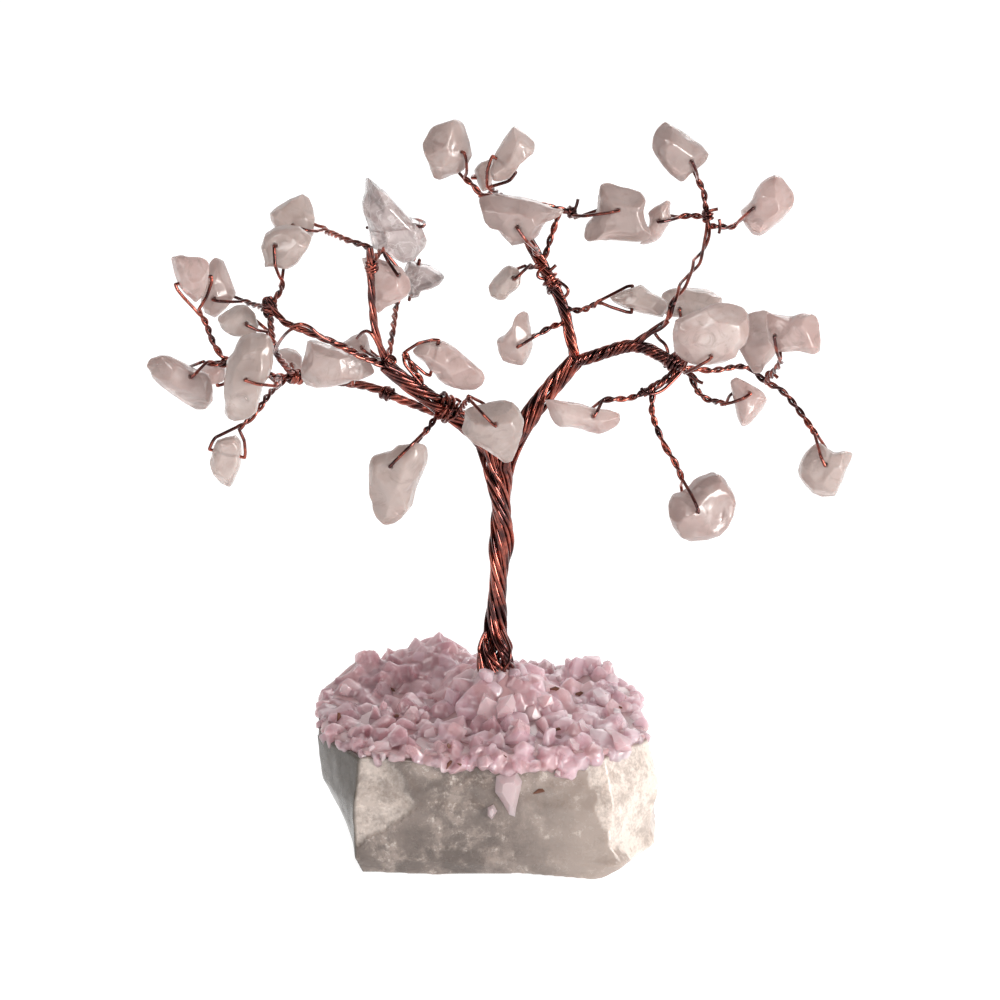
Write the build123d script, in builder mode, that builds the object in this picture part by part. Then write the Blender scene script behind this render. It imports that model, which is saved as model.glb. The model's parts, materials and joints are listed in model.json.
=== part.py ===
from build123d import *
import os
import random
from collections import namedtuple
from math import atan2, ceil, cos, degrees, exp, pi, radians, sin, sqrt, tan

os.makedirs("parts", exist_ok=True)

# Gemstone tree: rose quartz chips threaded on a twisted copper wire tree, on a raw quartz block.
# Millimetres, +Z up, the viewer looks along +Y, origin at the middle of the block's flat underside.

# Block, glue and crushed quartz
stone_width = 51.0
stone_depth = 40.0
stone_height = 18.0
stone_offset = -1.8          # middle of the block from the trunk, along X
socket_depth = 7.0
bed_thickness = 1.0
bed_margin = 0.4
crush_pitch = 4.3
crush_gap = 0.12
crush_height = 2.7
mound_rise = 3.6
mound_radius = 9.0
splinter_thickness = 2.4
splinter_glue = 0.15

# Copper wire
wire_dia = 0.45
strand_dia = 0.56
strand_count = 15
strand_gap = 0.03
twist_pitch = 21.0
core_gap = 0.06
seat_gap = 0.15
socket_gap = 0.15
left_bough_dia = 2.7
right_bough_dia = 2.8
upper_bough_dia = 1.9
right_limb_dia = 2.0
thick_strand_dia = 1.2
thin_strand_dia = 0.95
wrap_gap = 0.12
wrap_pitch = 0.95

# Chips and their loops
gem_thickness = 5.0
crown_depth = 20.0
hole_gap = 0.08
leg_gap = 0.2
loop_bend = 0.5

# How the photograph sees the tree: its width at the trunk, the eye's distance and how far it looks down
frame_span = 150.0
eye_distance = 420.0
view_tilt = 17.0
frame_pixels = 1000
foot_pixel = (498, 668)
fork_pixel = (500, 452)

# Shares and counts
section_shares = [(-0.5, 0.60), (-0.3, 0.90), (0.0, 1.0), (0.28, 0.91), (0.5, 0.58)]
shear_share = 0.22
crotch_share = 0.5
pair_share = 0.9
bend_share = 0.45
sector_margin = 10
edge_steps = 6
golden_angle = 137.5
wrap_turns = 3
crush_sides = 6
crystal_lean_share = 0.25
crystal_top_shares = (0.45, 0.8)
crystal_size_shares = (0.82, 1.0)
crystal_turn_shares = (-0.3, 0.3)
crystal_height_shares = (0.65, 1.15)

# Outlines of the block, counter-clockwise from its front left edge, as shares of half its width and depth
stone_shares = [
    (0.0, [(-0.71, -0.88), (-0.30, -0.93), (0.20, -0.91), (0.62, -1.02), (0.80, -0.64), (0.85, 0.22),
           (0.64, 0.80), (0.05, 0.90), (-0.46, 0.85), (-0.70, 0.40), (-0.73, -0.30)]),
    (0.14, [(-0.75, -0.93), (-0.30, -0.98), (0.22, -0.97), (0.70, -1.06), (0.92, -0.66), (0.95, 0.24),
            (0.70, 0.89), (0.05, 0.98), (-0.50, 0.93), (-0.78, 0.44), (-0.81, -0.34)]),
    (0.60, [(-0.75, -0.94), (-0.30, -1.0), (0.26, -0.99), (0.73, -0.99), (1.0, -0.60), (0.99, 0.28),
            (0.74, 0.92), (0.04, 1.0), (-0.58, 0.97), (-0.94, 0.44), (-0.95, -0.40)]),
    (1.0, [(-0.71, -0.88), (-0.30, -0.95), (0.26, -0.93), (0.68, -0.89), (0.94, -0.55), (0.92, 0.32),
           (0.66, 0.90), (0.02, 0.96), (-0.58, 0.95), (-1.0, 0.40), (-0.98, -0.44)]),
]

# Splinter that hangs down the front of the block, in pixels
splinter_pixels = [(494, 786), (498, 771), (507, 766), (517, 770), (521, 785), (519, 806), (513, 821),
                   (506, 815), (499, 802)]

# Routes of the bundles: pixel across, pixel down, and depth as a share of the crown's depth
left_bough_route = [(478, 429, -0.02), (457, 414, -0.05), (425, 396, -0.13), (402, 379, -0.17),
                    (385, 365, -0.2)]
left_low_route = [(455, 415, 0.0), (426, 409, 0.12), (399, 399, 0.24), (376, 388, 0.34), (350, 383, 0.44),
                  (318, 379, 0.47), (290, 376, 0.36)]
left_high_route = [(386, 366, -0.2), (362, 357, -0.36), (340, 345, -0.46), (318, 336, -0.5),
                   (297, 328, -0.5), (281, 321, -0.46), (271, 304, -0.4), (268, 297, -0.39)]
left_stub_route = [(270, 304, -0.39), (271, 330, -0.22), (275, 352, -0.02), (286, 366, 0.2),
                   (293, 375, 0.36)]
left_far_route = [(222, 358, 0.0), (245, 367, 0.06), (266, 376, 0.14), (292, 377, 0.36)]
left_riser_route = [(387, 364, -0.2), (377, 341, -0.28), (372, 310, -0.3), (371, 280, -0.32),
                    (370, 247, -0.35)]
left_back_route = [(388, 358, -0.17), (392, 336, 0.08), (395, 312, 0.4), (398, 289, 0.74)]
right_bough_route = [(516, 436, 0.02), (531, 414, 0.05), (551, 387, 0.1), (575, 361, 0.12)]
right_limb_route = [(572, 363, 0.12), (600, 354, 0.15), (625, 346, 0.14), (641, 346, 0.1), (660, 355, 0.0),
                    (682, 368, -0.11)]
upper_bough_route = [(576, 363, 0.12), (570, 338, 0.16), (566, 316, 0.2), (558, 294, 0.24),
                     (545, 270, 0.28), (534, 250, 0.31), (527, 238, 0.34)]
crossbar_post_route = [(543, 262, 0.29), (550, 240, 0.36), (556, 222, 0.4), (560, 209, 0.42)]
crossbar_route = [(479, 195, 0.43), (500, 199, 0.42), (525, 202, 0.43), (550, 207, 0.42), (576, 213, 0.42)]
right_riser_route = [(633, 345, 0.12), (645, 334, 0.06), (661, 326, -0.06), (670, 317, -0.18),
                     (672, 302, -0.2), (687, 279, 0.02), (698, 260, 0.24), (706, 243, 0.42),
                     (709, 225, 0.54), (706, 207, 0.56)]
right_outer_route = [(681, 367, -0.1), (706, 371, -0.06), (722, 369, 0.02), (738, 366, 0.11),
                     (750, 367, 0.17), (757, 375, 0.18), (769, 384, 0.12), (782, 390, 0.02),
                     (794, 404, -0.1), (806, 420, -0.2), (811, 428, -0.25)]
right_low_route = [(680, 368, -0.11), (668, 378, -0.16), (655, 387, -0.21), (643, 393, -0.25)]
right_drop_route = [(686, 370, -0.12), (694, 381, -0.15), (697, 391, -0.17)]

# Wraps: two points of the bundle that each one is wound on, and that bundle's diameter
wrap_spots = [
    ((399, 399, 0.24), (376, 388, 0.34), thick_strand_dia),
    ((558, 294, 0.24), (545, 270, 0.28), upper_bough_dia),
    ((600, 354, 0.15), (625, 346, 0.14), right_limb_dia),
    ((372, 310, -0.3), (371, 280, -0.32), thick_strand_dia),
]

# Chips. A loop pulls from the hole towards a pixel, or by its back share towards the rear. The bore is its angle
# in the outline's plane and its rise out of it. A route ends inside the bundle that its twig is twisted into.
Chip = namedtuple("Chip", "outline_pixels depth_share thickness_share yaw tilt hole_pixel bore pull_pixel "
                          "back_share swing route")
through = (0, 90)
left_gems = {
    "left_gem_01": Chip(
        outline_pixels=[(267, 214), (277, 207), (290, 199), (303, 194), (309, 198), (317, 218),
                        (314, 236), (300, 245), (280, 237)],
        depth_share=0.3, thickness_share=1.0, yaw=14, tilt=-5, hole_pixel=(290, 221), bore=through,
        pull_pixel=(323, 232), back_share=0, swing=12,
        route=[(337, 237, -0.02), (352, 241, -0.18), (369, 248, -0.34)]),
    "left_gem_02": Chip(
        outline_pixels=[(273, 227), (264, 232), (261, 246), (266, 260), (265, 267), (276, 266),
                        (288, 270), (297, 264), (307, 250), (312, 238), (300, 227), (286, 225)],
        depth_share=-0.1, thickness_share=1.0, yaw=-12, tilt=8, hole_pixel=(279, 245), bore=through,
        pull_pixel=(282, 270), back_share=0, swing=12,
        route=[(282, 283, -0.18), (279, 293, -0.3), (271, 302, -0.39)]),
    "left_gem_03": Chip(
        outline_pixels=[(170, 256), (180, 255), (190, 257), (201, 257), (210, 260), (209, 280),
                        (204, 296), (196, 303), (186, 294), (177, 284)],
        depth_share=-0.18, thickness_share=0.9, yaw=10, tilt=10, hole_pixel=(190, 281), bore=(11, 0),
        pull_pixel=(196, 304), back_share=0, swing=12,
        route=[(204, 318, -0.12), (211, 336, -0.06), (217, 349, -0.02), (222, 357, 0.0)]),
    "left_gem_04": Chip(
        outline_pixels=[(211, 261), (215, 257), (220, 260), (228, 280), (234, 297), (230, 305),
                        (222, 312), (215, 318), (206, 314), (203, 300), (207, 280)],
        depth_share=0.26, thickness_share=0.9, yaw=-8, tilt=0, hole_pixel=(217, 296), bore=through,
        pull_pixel=(246, 303), back_share=0, swing=12,
        route=[(257, 306, 0.1), (264, 309, -0.1), (270, 316, -0.31)]),
    "left_gem_05": Chip(
        outline_pixels=[(216, 320), (225, 312), (236, 306), (247, 306), (255, 313), (260, 324),
                        (257, 331), (247, 335), (232, 334), (221, 330)],
        depth_share=-0.15, thickness_share=0.72, yaw=6, tilt=-10, hole_pixel=(246, 319), bore=through,
        pull_pixel=(262, 329), back_share=0, swing=10,
        route=[(273, 344, -0.1)]),
    "left_gem_06": Chip(
        outline_pixels=[(145, 366), (150, 358), (160, 354), (170, 356), (182, 362), (196, 368),
                        (208, 374), (213, 382), (216, 393), (213, 401), (205, 410), (198, 412),
                        (185, 405), (165, 390), (150, 377)],
        depth_share=-0.12, thickness_share=1.1, yaw=15, tilt=5, hole_pixel=(188, 374), bore=through,
        pull_pixel=(202, 363), back_share=0, swing=12,
        route=[(214, 364, -0.05), (236, 364, 0.03)]),
    "left_gem_07": Chip(
        outline_pixels=[(193, 371), (209, 365), (225, 363), (226, 372), (224, 381), (214, 384),
                        (200, 387)],
        depth_share=0.3, thickness_share=0.72, yaw=-5, tilt=0, hole_pixel=(216, 374), bore=(95, 0),
        pull_pixel=(236, 371), back_share=0, swing=10,
        route=[(250, 369, 0.08)]),
    "left_gem_08": Chip(
        outline_pixels=[(240, 337), (252, 331), (262, 331), (270, 336), (274, 346), (274, 362),
                        (269, 378), (263, 386), (260, 400), (257, 412), (249, 418), (242, 421),
                        (235, 423), (228, 420), (224, 413), (224, 380), (227, 360), (234, 349)],
        depth_share=-0.46, thickness_share=1.2, yaw=-12, tilt=4, hole_pixel=(252, 376), bore=through,
        pull_pixel=(273, 381), back_share=0, swing=12,
        route=[(280, 385, -0.2), (277, 377, 0.23)]),
    "left_gem_09": Chip(
        outline_pixels=[(209, 463), (213, 448), (217, 440), (225, 437), (236, 435), (241, 441),
                        (242, 455), (240, 467), (235, 480), (230, 487), (222, 485), (212, 474)],
        depth_share=-0.2, thickness_share=0.8, yaw=12, tilt=0, hole_pixel=(229, 454), bore=(-17, 0),
        pull_pixel=(236, 432), back_share=0, swing=12,
        route=[(247, 422, -0.2), (259, 409, -0.15), (268, 397, -0.05), (277, 386, 0.18),
               (286, 378, 0.33)]),
    "left_gem_10": Chip(
        outline_pixels=[(277, 352), (288, 350), (297, 352), (302, 357), (303, 370), (293, 372),
                        (283, 368)],
        depth_share=0.78, thickness_share=0.64, yaw=8, tilt=-6, hole_pixel=(291, 362), bore=through,
        pull_pixel=(298, 380), back_share=0, swing=10,
        route=[(306, 377, 0.45)]),
    "left_gem_11": Chip(
        outline_pixels=[(302, 339), (310, 338), (318, 341), (330, 346), (341, 348), (352, 352),
                        (365, 359), (379, 370), (372, 375), (360, 380), (345, 384), (330, 387),
                        (315, 389), (306, 386), (301, 378), (300, 360)],
        depth_share=0.0, thickness_share=1.1, yaw=-10, tilt=-6, hole_pixel=(352, 367), bore=(90, 0),
        pull_pixel=(352, 367), back_share=1, swing=8,
        route=[(345, 383, 0.45)]),
    "left_gem_12": Chip(
        outline_pixels=[(340, 343), (350, 338), (358, 335), (362, 331), (367, 335), (369, 345),
                        (371, 356), (362, 358), (350, 354)],
        depth_share=0.36, thickness_share=0.72, yaw=6, tilt=0, hole_pixel=(361, 345), bore=through,
        pull_pixel=(374, 356), back_share=0, swing=10,
        route=[(382, 364, -0.18)]),
    "left_gem_13": Chip(
        outline_pixels=[(368, 177), (374, 182), (384, 190), (395, 202), (410, 218), (419, 221),
                        (426, 238), (424, 245), (418, 252), (411, 260), (400, 262), (392, 258),
                        (383, 252), (373, 249), (371, 238), (369, 228), (364, 214), (363, 205),
                        (367, 193)],
        depth_share=0.2, thickness_share=1.3, yaw=10, tilt=-6, hole_pixel=(398, 227), bore=(12, 35),
        pull_pixel=(426, 222), back_share=0.6, swing=10,
        route=[(418, 246, 0.8), (408, 268, 0.88), (398, 290, 0.73)]),
    "left_gem_14": Chip(
        outline_pixels=[(360, 258), (372, 256), (388, 262), (402, 266), (410, 280), (411, 290),
                        (407, 297), (395, 304), (385, 308), (376, 316), (372, 296), (366, 272)],
        depth_share=-0.12, thickness_share=0.8, yaw=-6, tilt=6, hole_pixel=(400, 274), bore=through,
        pull_pixel=(388, 258), back_share=0, swing=8,
        route=[(371, 262, -0.33)]),
    "left_gem_15": Chip(
        outline_pixels=[(408, 260), (416, 263), (430, 266), (440, 272), (445, 277), (441, 283),
                        (431, 288), (421, 290), (419, 296), (411, 298), (407, 292), (409, 282),
                        (403, 270)],
        depth_share=0.52, thickness_share=0.8, yaw=0, tilt=6, hole_pixel=(415, 278), bore=(75, 0),
        pull_pixel=(415, 278), back_share=1, swing=10,
        route=[(396, 304, 0.52)]),
    "left_gem_16": Chip(
        outline_pixels=[(412, 350), (420, 343), (432, 339), (442, 340), (452, 346), (462, 355),
                        (475, 366), (482, 372), (485, 378), (482, 385), (475, 390), (462, 390),
                        (448, 386), (440, 380), (437, 374), (430, 371), (422, 362)],
        depth_share=-0.1, thickness_share=1.0, yaw=10, tilt=8, hole_pixel=(434, 360), bore=(80, 30),
        pull_pixel=(417, 357), back_share=0, swing=10,
        route=[(406, 354, -0.12), (413, 370, -0.13), (431, 398, -0.12)]),
    "left_gem_17": Chip(
        outline_pixels=[(372, 462), (375, 454), (385, 450), (393, 449), (401, 443), (411, 440),
                        (419, 437), (424, 442), (426, 450), (424, 462), (420, 475), (413, 490),
                        (410, 501), (408, 511), (401, 521), (394, 525), (384, 526), (378, 519),
                        (373, 510), (372, 488)],
        depth_share=-0.28, thickness_share=1.2, yaw=-14, tilt=6, hole_pixel=(396, 463), bore=through,
        pull_pixel=(421, 437), back_share=0, swing=12,
        route=[(434, 420, -0.18), (442, 407, -0.09)]),
}
centre_gems = {
    "centre_gem_01": Chip(
        outline_pixels=[(457, 419), (460, 412), (469, 411), (482, 408), (492, 405), (505, 403),
                        (514, 402), (519, 409), (524, 420), (521, 436), (516, 448), (511, 459),
                        (503, 461), (496, 457), (485, 450), (470, 440), (461, 431)],
        depth_share=-0.48, thickness_share=1.0, yaw=5, tilt=-8, hole_pixel=(494, 418), bore=through,
        pull_pixel=(474, 402), back_share=0, swing=8,
        route=[(469, 402, -0.3), (456, 413, -0.05)]),
    "centre_gem_02": Chip(
        outline_pixels=[(543, 399), (551, 398), (565, 401), (580, 404), (595, 407), (612, 411),
                        (620, 414), (621, 420), (617, 426), (608, 431), (600, 434), (592, 433),
                        (580, 430), (570, 427), (560, 427), (554, 423), (549, 415)],
        depth_share=-0.4, thickness_share=0.84, yaw=8, tilt=10, hole_pixel=(591, 415), bore=through,
        pull_pixel=(602, 400), back_share=0, swing=8,
        route=[(615, 399, -0.37), (630, 399, -0.3), (649, 390, -0.23)]),
    "centre_gem_03": Chip(
        outline_pixels=[(497, 339), (503, 336), (510, 328), (517, 320), (517, 314), (521, 311),
                        (526, 314), (527, 322), (531, 332), (531, 350), (528, 362), (524, 366),
                        (512, 364), (504, 360), (500, 351)],
        depth_share=0.08, thickness_share=0.9, yaw=-15, tilt=0, hole_pixel=(522, 343), bore=through,
        pull_pixel=(543, 331), back_share=0, swing=12,
        route=[(553, 324, 0.16), (567, 322, 0.19)]),
    "centre_gem_04": Chip(
        outline_pixels=[(487, 288), (494, 280), (500, 274), (505, 268), (511, 265), (518, 267),
                        (522, 273), (521, 283), (516, 289), (508, 294), (503, 300), (497, 301),
                        (490, 297)],
        depth_share=0.02, thickness_share=0.72, yaw=10, tilt=0, hole_pixel=(512, 276), bore=through,
        pull_pixel=(526, 267), back_share=0, swing=12,
        route=[(542, 265, 0.29)]),
}
top_gems = {
    "top_gem_01": Chip(
        outline_pixels=[(425, 140), (430, 129), (436, 125), (446, 122), (455, 119), (459, 123),
                        (463, 136), (468, 150), (468, 158), (464, 166), (459, 174), (450, 176),
                        (443, 181), (438, 180), (433, 170), (428, 155)],
        depth_share=0.4, thickness_share=1.2, yaw=-18, tilt=-6, hole_pixel=(455, 150), bore=(5, 40),
        pull_pixel=(470, 176), back_share=0, swing=12,
        route=[(477, 187, 0.42), (481, 195, 0.43)]),
    "top_gem_02": Chip(
        outline_pixels=[(494, 160), (500, 150), (507, 138), (513, 128), (517, 125), (522, 128),
                        (530, 136), (535, 143), (533, 150), (525, 158), (518, 163), (513, 171),
                        (508, 178), (500, 181), (493, 181), (490, 172)],
        depth_share=0.15, thickness_share=0.84, yaw=12, tilt=0, hole_pixel=(504, 164), bore=(-36, 0),
        pull_pixel=(495, 182), back_share=0, swing=12,
        route=[(508, 200, 0.42)]),
    "top_gem_03": Chip(
        outline_pixels=[(474, 170), (480, 161), (488, 158), (496, 160), (494, 175), (489, 190),
                        (482, 193), (477, 182)],
        depth_share=0.68, thickness_share=0.72, yaw=0, tilt=0, hole_pixel=(485, 178), bore=(0, 0),
        pull_pixel=(485, 178), back_share=1, swing=10,
        route=[(492, 204, 0.74), (492, 198, 0.43)]),
    "top_gem_04": Chip(
        outline_pixels=[(478, 198), (490, 195), (503, 197), (520, 199), (536, 203), (548, 207),
                        (560, 209), (566, 212), (560, 217), (548, 220), (541, 229), (538, 236),
                        (529, 240), (520, 243), (512, 245), (506, 239), (497, 226), (489, 226),
                        (484, 220), (481, 209)],
        depth_share=0.0, thickness_share=1.0, yaw=4, tilt=-10, hole_pixel=(516, 221), bore=through,
        pull_pixel=(530, 242), back_share=0, swing=10,
        route=[(538, 256, 0.3)]),
    "top_gem_05": Chip(
        outline_pixels=[(584, 238), (586, 228), (592, 221), (598, 210), (599, 195), (601, 185),
                        (607, 181), (615, 182), (625, 186), (635, 189), (641, 191), (645, 198),
                        (642, 210), (646, 222), (651, 236), (650, 241), (635, 242), (610, 240),
                        (588, 242)],
        depth_share=0.3, thickness_share=1.0, yaw=6, tilt=4, hole_pixel=(616, 208), bore=through,
        pull_pixel=(585, 215), back_share=0, swing=8,
        route=[(570, 212, 0.42)]),
    "top_gem_06": Chip(
        outline_pixels=[(648, 212), (655, 206), (668, 199), (671, 202), (670, 212), (672, 218),
                        (666, 228), (661, 237), (656, 241), (648, 244), (640, 245), (645, 235),
                        (650, 225)],
        depth_share=0.62, thickness_share=0.76, yaw=-10, tilt=0, hole_pixel=(660, 219), bore=through,
        pull_pixel=(678, 217), back_share=0, swing=10,
        route=[(691, 215, 0.58), (707, 217, 0.55)]),
    "top_gem_07": Chip(
        outline_pixels=[(652, 140), (656, 131), (663, 122), (675, 128), (690, 138), (705, 148),
                        (710, 154), (707, 160), (698, 167), (690, 173), (684, 181), (679, 182),
                        (668, 173), (658, 162), (652, 150)],
        depth_share=0.45, thickness_share=0.96, yaw=10, tilt=-6, hole_pixel=(688, 157), bore=through,
        pull_pixel=(699, 180), back_share=0, swing=12,
        route=[(706, 196, 0.52), (706, 208, 0.56)]),
    "top_gem_08": Chip(
        outline_pixels=[(739, 211), (745, 205), (751, 199), (757, 188), (761, 181), (769, 176),
                        (776, 174), (783, 178), (790, 187), (795, 193), (796, 199), (794, 207),
                        (780, 222), (766, 233), (759, 237), (752, 234), (745, 225)],
        depth_share=0.65, thickness_share=1.2, yaw=-15, tilt=5, hole_pixel=(757, 206), bore=through,
        pull_pixel=(738, 222), back_share=0, swing=12,
        route=[(726, 227, 0.6), (709, 226, 0.54)]),
}
right_gems = {
    "right_gem_01": Chip(
        outline_pixels=[(608, 297), (613, 294), (622, 291), (632, 288), (641, 284), (650, 291),
                        (658, 295), (668, 302), (670, 308), (663, 318), (655, 316), (640, 313),
                        (625, 308), (612, 302)],
        depth_share=0.0, thickness_share=0.96, yaw=12, tilt=12, hole_pixel=(632, 301), bore=(75, -35),
        pull_pixel=(604, 304), back_share=0, swing=10,
        route=[(590, 306, 0.1), (580, 310, 0.15), (564, 308, 0.21)]),
    "right_gem_02": Chip(
        outline_pixels=[(657, 296), (669, 290), (690, 287), (710, 291), (720, 296), (728, 304),
                        (722, 313), (705, 313), (690, 317), (680, 318), (670, 315), (661, 312)],
        depth_share=0.46, thickness_share=0.8, yaw=-5, tilt=0, hole_pixel=(680, 306), bore=through,
        pull_pixel=(683, 325), back_share=0, swing=8,
        route=[(681, 343, 0.25), (671, 361, -0.05)]),
    "right_gem_03": Chip(
        outline_pixels=[(675, 330), (678, 320), (690, 314), (705, 307), (720, 302), (730, 303),
                        (740, 307), (745, 313), (745, 335), (742, 345), (736, 350), (732, 358),
                        (722, 363), (708, 366), (695, 366), (683, 360), (677, 350)],
        depth_share=-0.36, thickness_share=1.2, yaw=8, tilt=-5, hole_pixel=(707, 350), bore=through,
        pull_pixel=(688, 368), back_share=0, swing=8,
        route=[(678, 366, -0.09)]),
    "right_gem_04": Chip(
        outline_pixels=[(744, 322), (752, 313), (763, 310), (773, 313), (777, 330), (773, 350),
                        (767, 362), (761, 373), (755, 373), (749, 360), (743, 345)],
        depth_share=0.0, thickness_share=0.8, yaw=0, tilt=0, hole_pixel=(759, 342), bore=(0, 0),
        pull_pixel=(759, 342), back_share=1, swing=10,
        route=[(752, 369, 0.17)]),
    "right_gem_05": Chip(
        outline_pixels=[(767, 313), (780, 316), (790, 317), (800, 314), (809, 313), (816, 316),
                        (820, 324), (821, 340), (820, 351), (814, 354), (800, 351), (786, 352),
                        (775, 351), (768, 340), (765, 325)],
        depth_share=-0.36, thickness_share=0.9, yaw=-12, tilt=0, hole_pixel=(776, 333), bore=through,
        pull_pixel=(780, 358), back_share=0, swing=8,
        route=[(775, 371, -0.1), (766, 382, 0.13)]),
    "right_gem_06": Chip(
        outline_pixels=[(730, 381), (736, 377), (745, 381), (757, 388), (764, 393), (767, 400),
                        (762, 410), (755, 418), (748, 425), (742, 427), (738, 420), (735, 405),
                        (732, 392)],
        depth_share=-0.3, thickness_share=0.9, yaw=12, tilt=5, hole_pixel=(746, 391), bore=through,
        pull_pixel=(729, 400), back_share=0, swing=12,
        route=[(716, 402, -0.22), (704, 399, -0.18), (697, 390, -0.17)]),
    "right_gem_07": Chip(
        outline_pixels=[(669, 507), (674, 499), (682, 497), (690, 490), (697, 483), (704, 479),
                        (712, 476), (719, 474), (726, 480), (732, 488), (735, 498), (732, 512),
                        (726, 524), (718, 533), (705, 539), (690, 541), (680, 537), (673, 527),
                        (669, 516)],
        depth_share=-0.5, thickness_share=1.3, yaw=14, tilt=4, hole_pixel=(691, 507), bore=through,
        pull_pixel=(683, 476), back_share=0, swing=12,
        route=[(674, 461, -0.46), (662, 442, -0.4), (655, 422, -0.34), (650, 408, -0.3),
               (654, 388, -0.21)]),
    "right_gem_08": Chip(
        outline_pixels=[(798, 470), (800, 462), (805, 453), (812, 446), (818, 442), (826, 446),
                        (835, 451), (845, 451), (854, 453), (850, 462), (846, 470), (842, 482),
                        (838, 491), (835, 496), (822, 497), (812, 493), (804, 485), (799, 477)],
        depth_share=-0.35, thickness_share=1.1, yaw=-15, tilt=6, hole_pixel=(828, 462), bore=through,
        pull_pixel=(816, 438), back_share=0, swing=12,
        route=[(809, 425, -0.23)]),
}

# The eye and its rays
wire_radius = wire_dia / 2
pixel_size = frame_span / frame_pixels
bed_top = stone_height + bed_thickness
foot = Vector(0, 0, bed_top + crush_height + mound_rise)
view_axis = Vector(0, cos(radians(view_tilt)), -sin(radians(view_tilt)))
view_up = Vector(0, sin(radians(view_tilt)), cos(radians(view_tilt)))
view_right = Vector(1, 0, 0)


def ray(across, down):
    """Direction from the eye through one pixel of the photograph."""
    half = frame_pixels / 2
    aside = view_right * ((across - half) * pixel_size) + view_up * ((half - down) * pixel_size)
    return view_axis * eye_distance + aside


eye = foot - ray(*foot_pixel)


def sighted(across, down, depth_share):
    """Point seen at a pixel, at a depth along Y given as a share of the crown's depth."""
    line = ray(across, down)
    return eye + line * ((depth_share * crown_depth - eye.Y) / line.Y)


def sighted_on(across, down, plane):
    """Point seen at a pixel, on a plane."""
    line = ray(across, down)
    return eye + line * ((plane.origin - eye).dot(plane.z_dir) / line.dot(plane.z_dir))


def corner_radii(points):
    """Radius at each corner, as large as the two runs that meet there allow."""
    radii = []
    for before, here, after in zip(points, points[1:], points[2:]):
        turn = (here - before).get_angle(after - here)
        shorter = min((here - before).length, (after - here).length)
        radii.append(bend_share * shorter / tan(radians(turn) / 2))
    return radii


def tube(points, diameter, radii=None):
    """Round rod along straight runs joined by tangent arcs."""
    with BuildPart() as rod:
        with BuildLine() as path:
            if len(points) > 2:
                FilletPolyline(*points, radius=radii or corner_radii(points))
            else:
                Line(*points)
        with BuildSketch(Plane(points[0], z_dir=points[1] - points[0])):
            Circle(diameter / 2)
        sweep(path=path.line)
    return rod.part


def winding(start, axis, across, radius, pitch, turns, phase, diameter):
    """Wire wound about an axis, on biarcs of a quarter turn. A negative pitch winds the other way."""
    steps = max(1, ceil(4 * turns))
    side = axis.cross(across)
    hand = 1 if pitch > 0 else -1
    nodes = []
    for step in range(steps + 1):
        angle = radians(phase) + hand * 2 * pi * turns * step / steps
        out = across * cos(angle) + side * sin(angle)
        along = side * cos(angle) - across * sin(angle)
        place = start + axis * (abs(pitch) * turns * step / steps) + out * radius
        heading = (along * (hand * 2 * pi * radius) + axis * abs(pitch)).normalized()
        nodes.append((place, heading))
    with BuildPart() as coil:
        with BuildLine() as path:
            for (p0, t0), (p1, t1) in zip(nodes, nodes[1:]):
                chord = p1 - p0
                both = t0 + t1
                spread = 2 * (1 - t0.dot(t1))
                reach = sqrt(chord.dot(both) ** 2 + spread * chord.dot(chord)) - chord.dot(both)
                length = reach / spread
                middle = (p0 + p1 + (t0 - t1) * length) * 0.5
                TangentArc(p0, middle, tangent=t0)
                TangentArc(middle, p1, tangent=(p1 - t1 * length) - (p0 + t0 * length))
        with BuildSketch(Plane(nodes[0][0], z_dir=nodes[0][1])):
            Circle(diameter / 2)
        sweep(path=path.line)
    return coil.part


def gem_plane(outline, depth_share, yaw, tilt):
    """Plane of a chip's widest outline, its normal towards the viewer."""
    middle = [sum(axis) / len(outline) for axis in zip(*outline)]
    normal = Vector(sin(radians(yaw)) * cos(radians(tilt)), -cos(radians(yaw)) * cos(radians(tilt)),
                    sin(radians(tilt)))
    across = Vector(cos(radians(yaw)), sin(radians(yaw)), 0)
    return Plane(sighted(*middle, depth_share), x_dir=across, z_dir=normal)


def gem_sections(outline, plane, thickness, number):
    """Corners of a chip's five outlines from back to front, in its plane's own axes."""
    corners = [plane.to_local_coords(sighted_on(*pixel, plane)) for pixel in outline]
    middle = sum(corners, Vector()) * (1 / len(corners))
    lean = Vector(cos(radians(golden_angle * number)), sin(radians(golden_angle * number)))
    rows = []
    for level_share, scale_share in section_shares:
        height = level_share * thickness
        shift = middle + lean * (shear_share * height)
        rows.append((height, [shift + (corner - middle) * scale_share for corner in corners]))
    return rows


def gem_axes(chip, plane):
    """Middle of a chip's hole, the hole's direction, and the direction that its loop leaves in."""
    hole = sighted_on(*chip.hole_pixel, plane)
    turn, rise = radians(chip.bore[0]), radians(chip.bore[1])
    flat = plane.x_dir * cos(turn) + plane.y_dir * sin(turn)
    axis = (flat * cos(rise) + plane.z_dir * sin(rise)).normalized()
    aside = sighted_on(*chip.pull_pixel, plane) - hole
    aside = aside.normalized() * (1 - chip.back_share) if aside.length > wire_dia else Vector()
    aside = aside - plane.z_dir * chip.back_share
    return hole, axis, (aside - axis * aside.dot(axis)).normalized()


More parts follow.
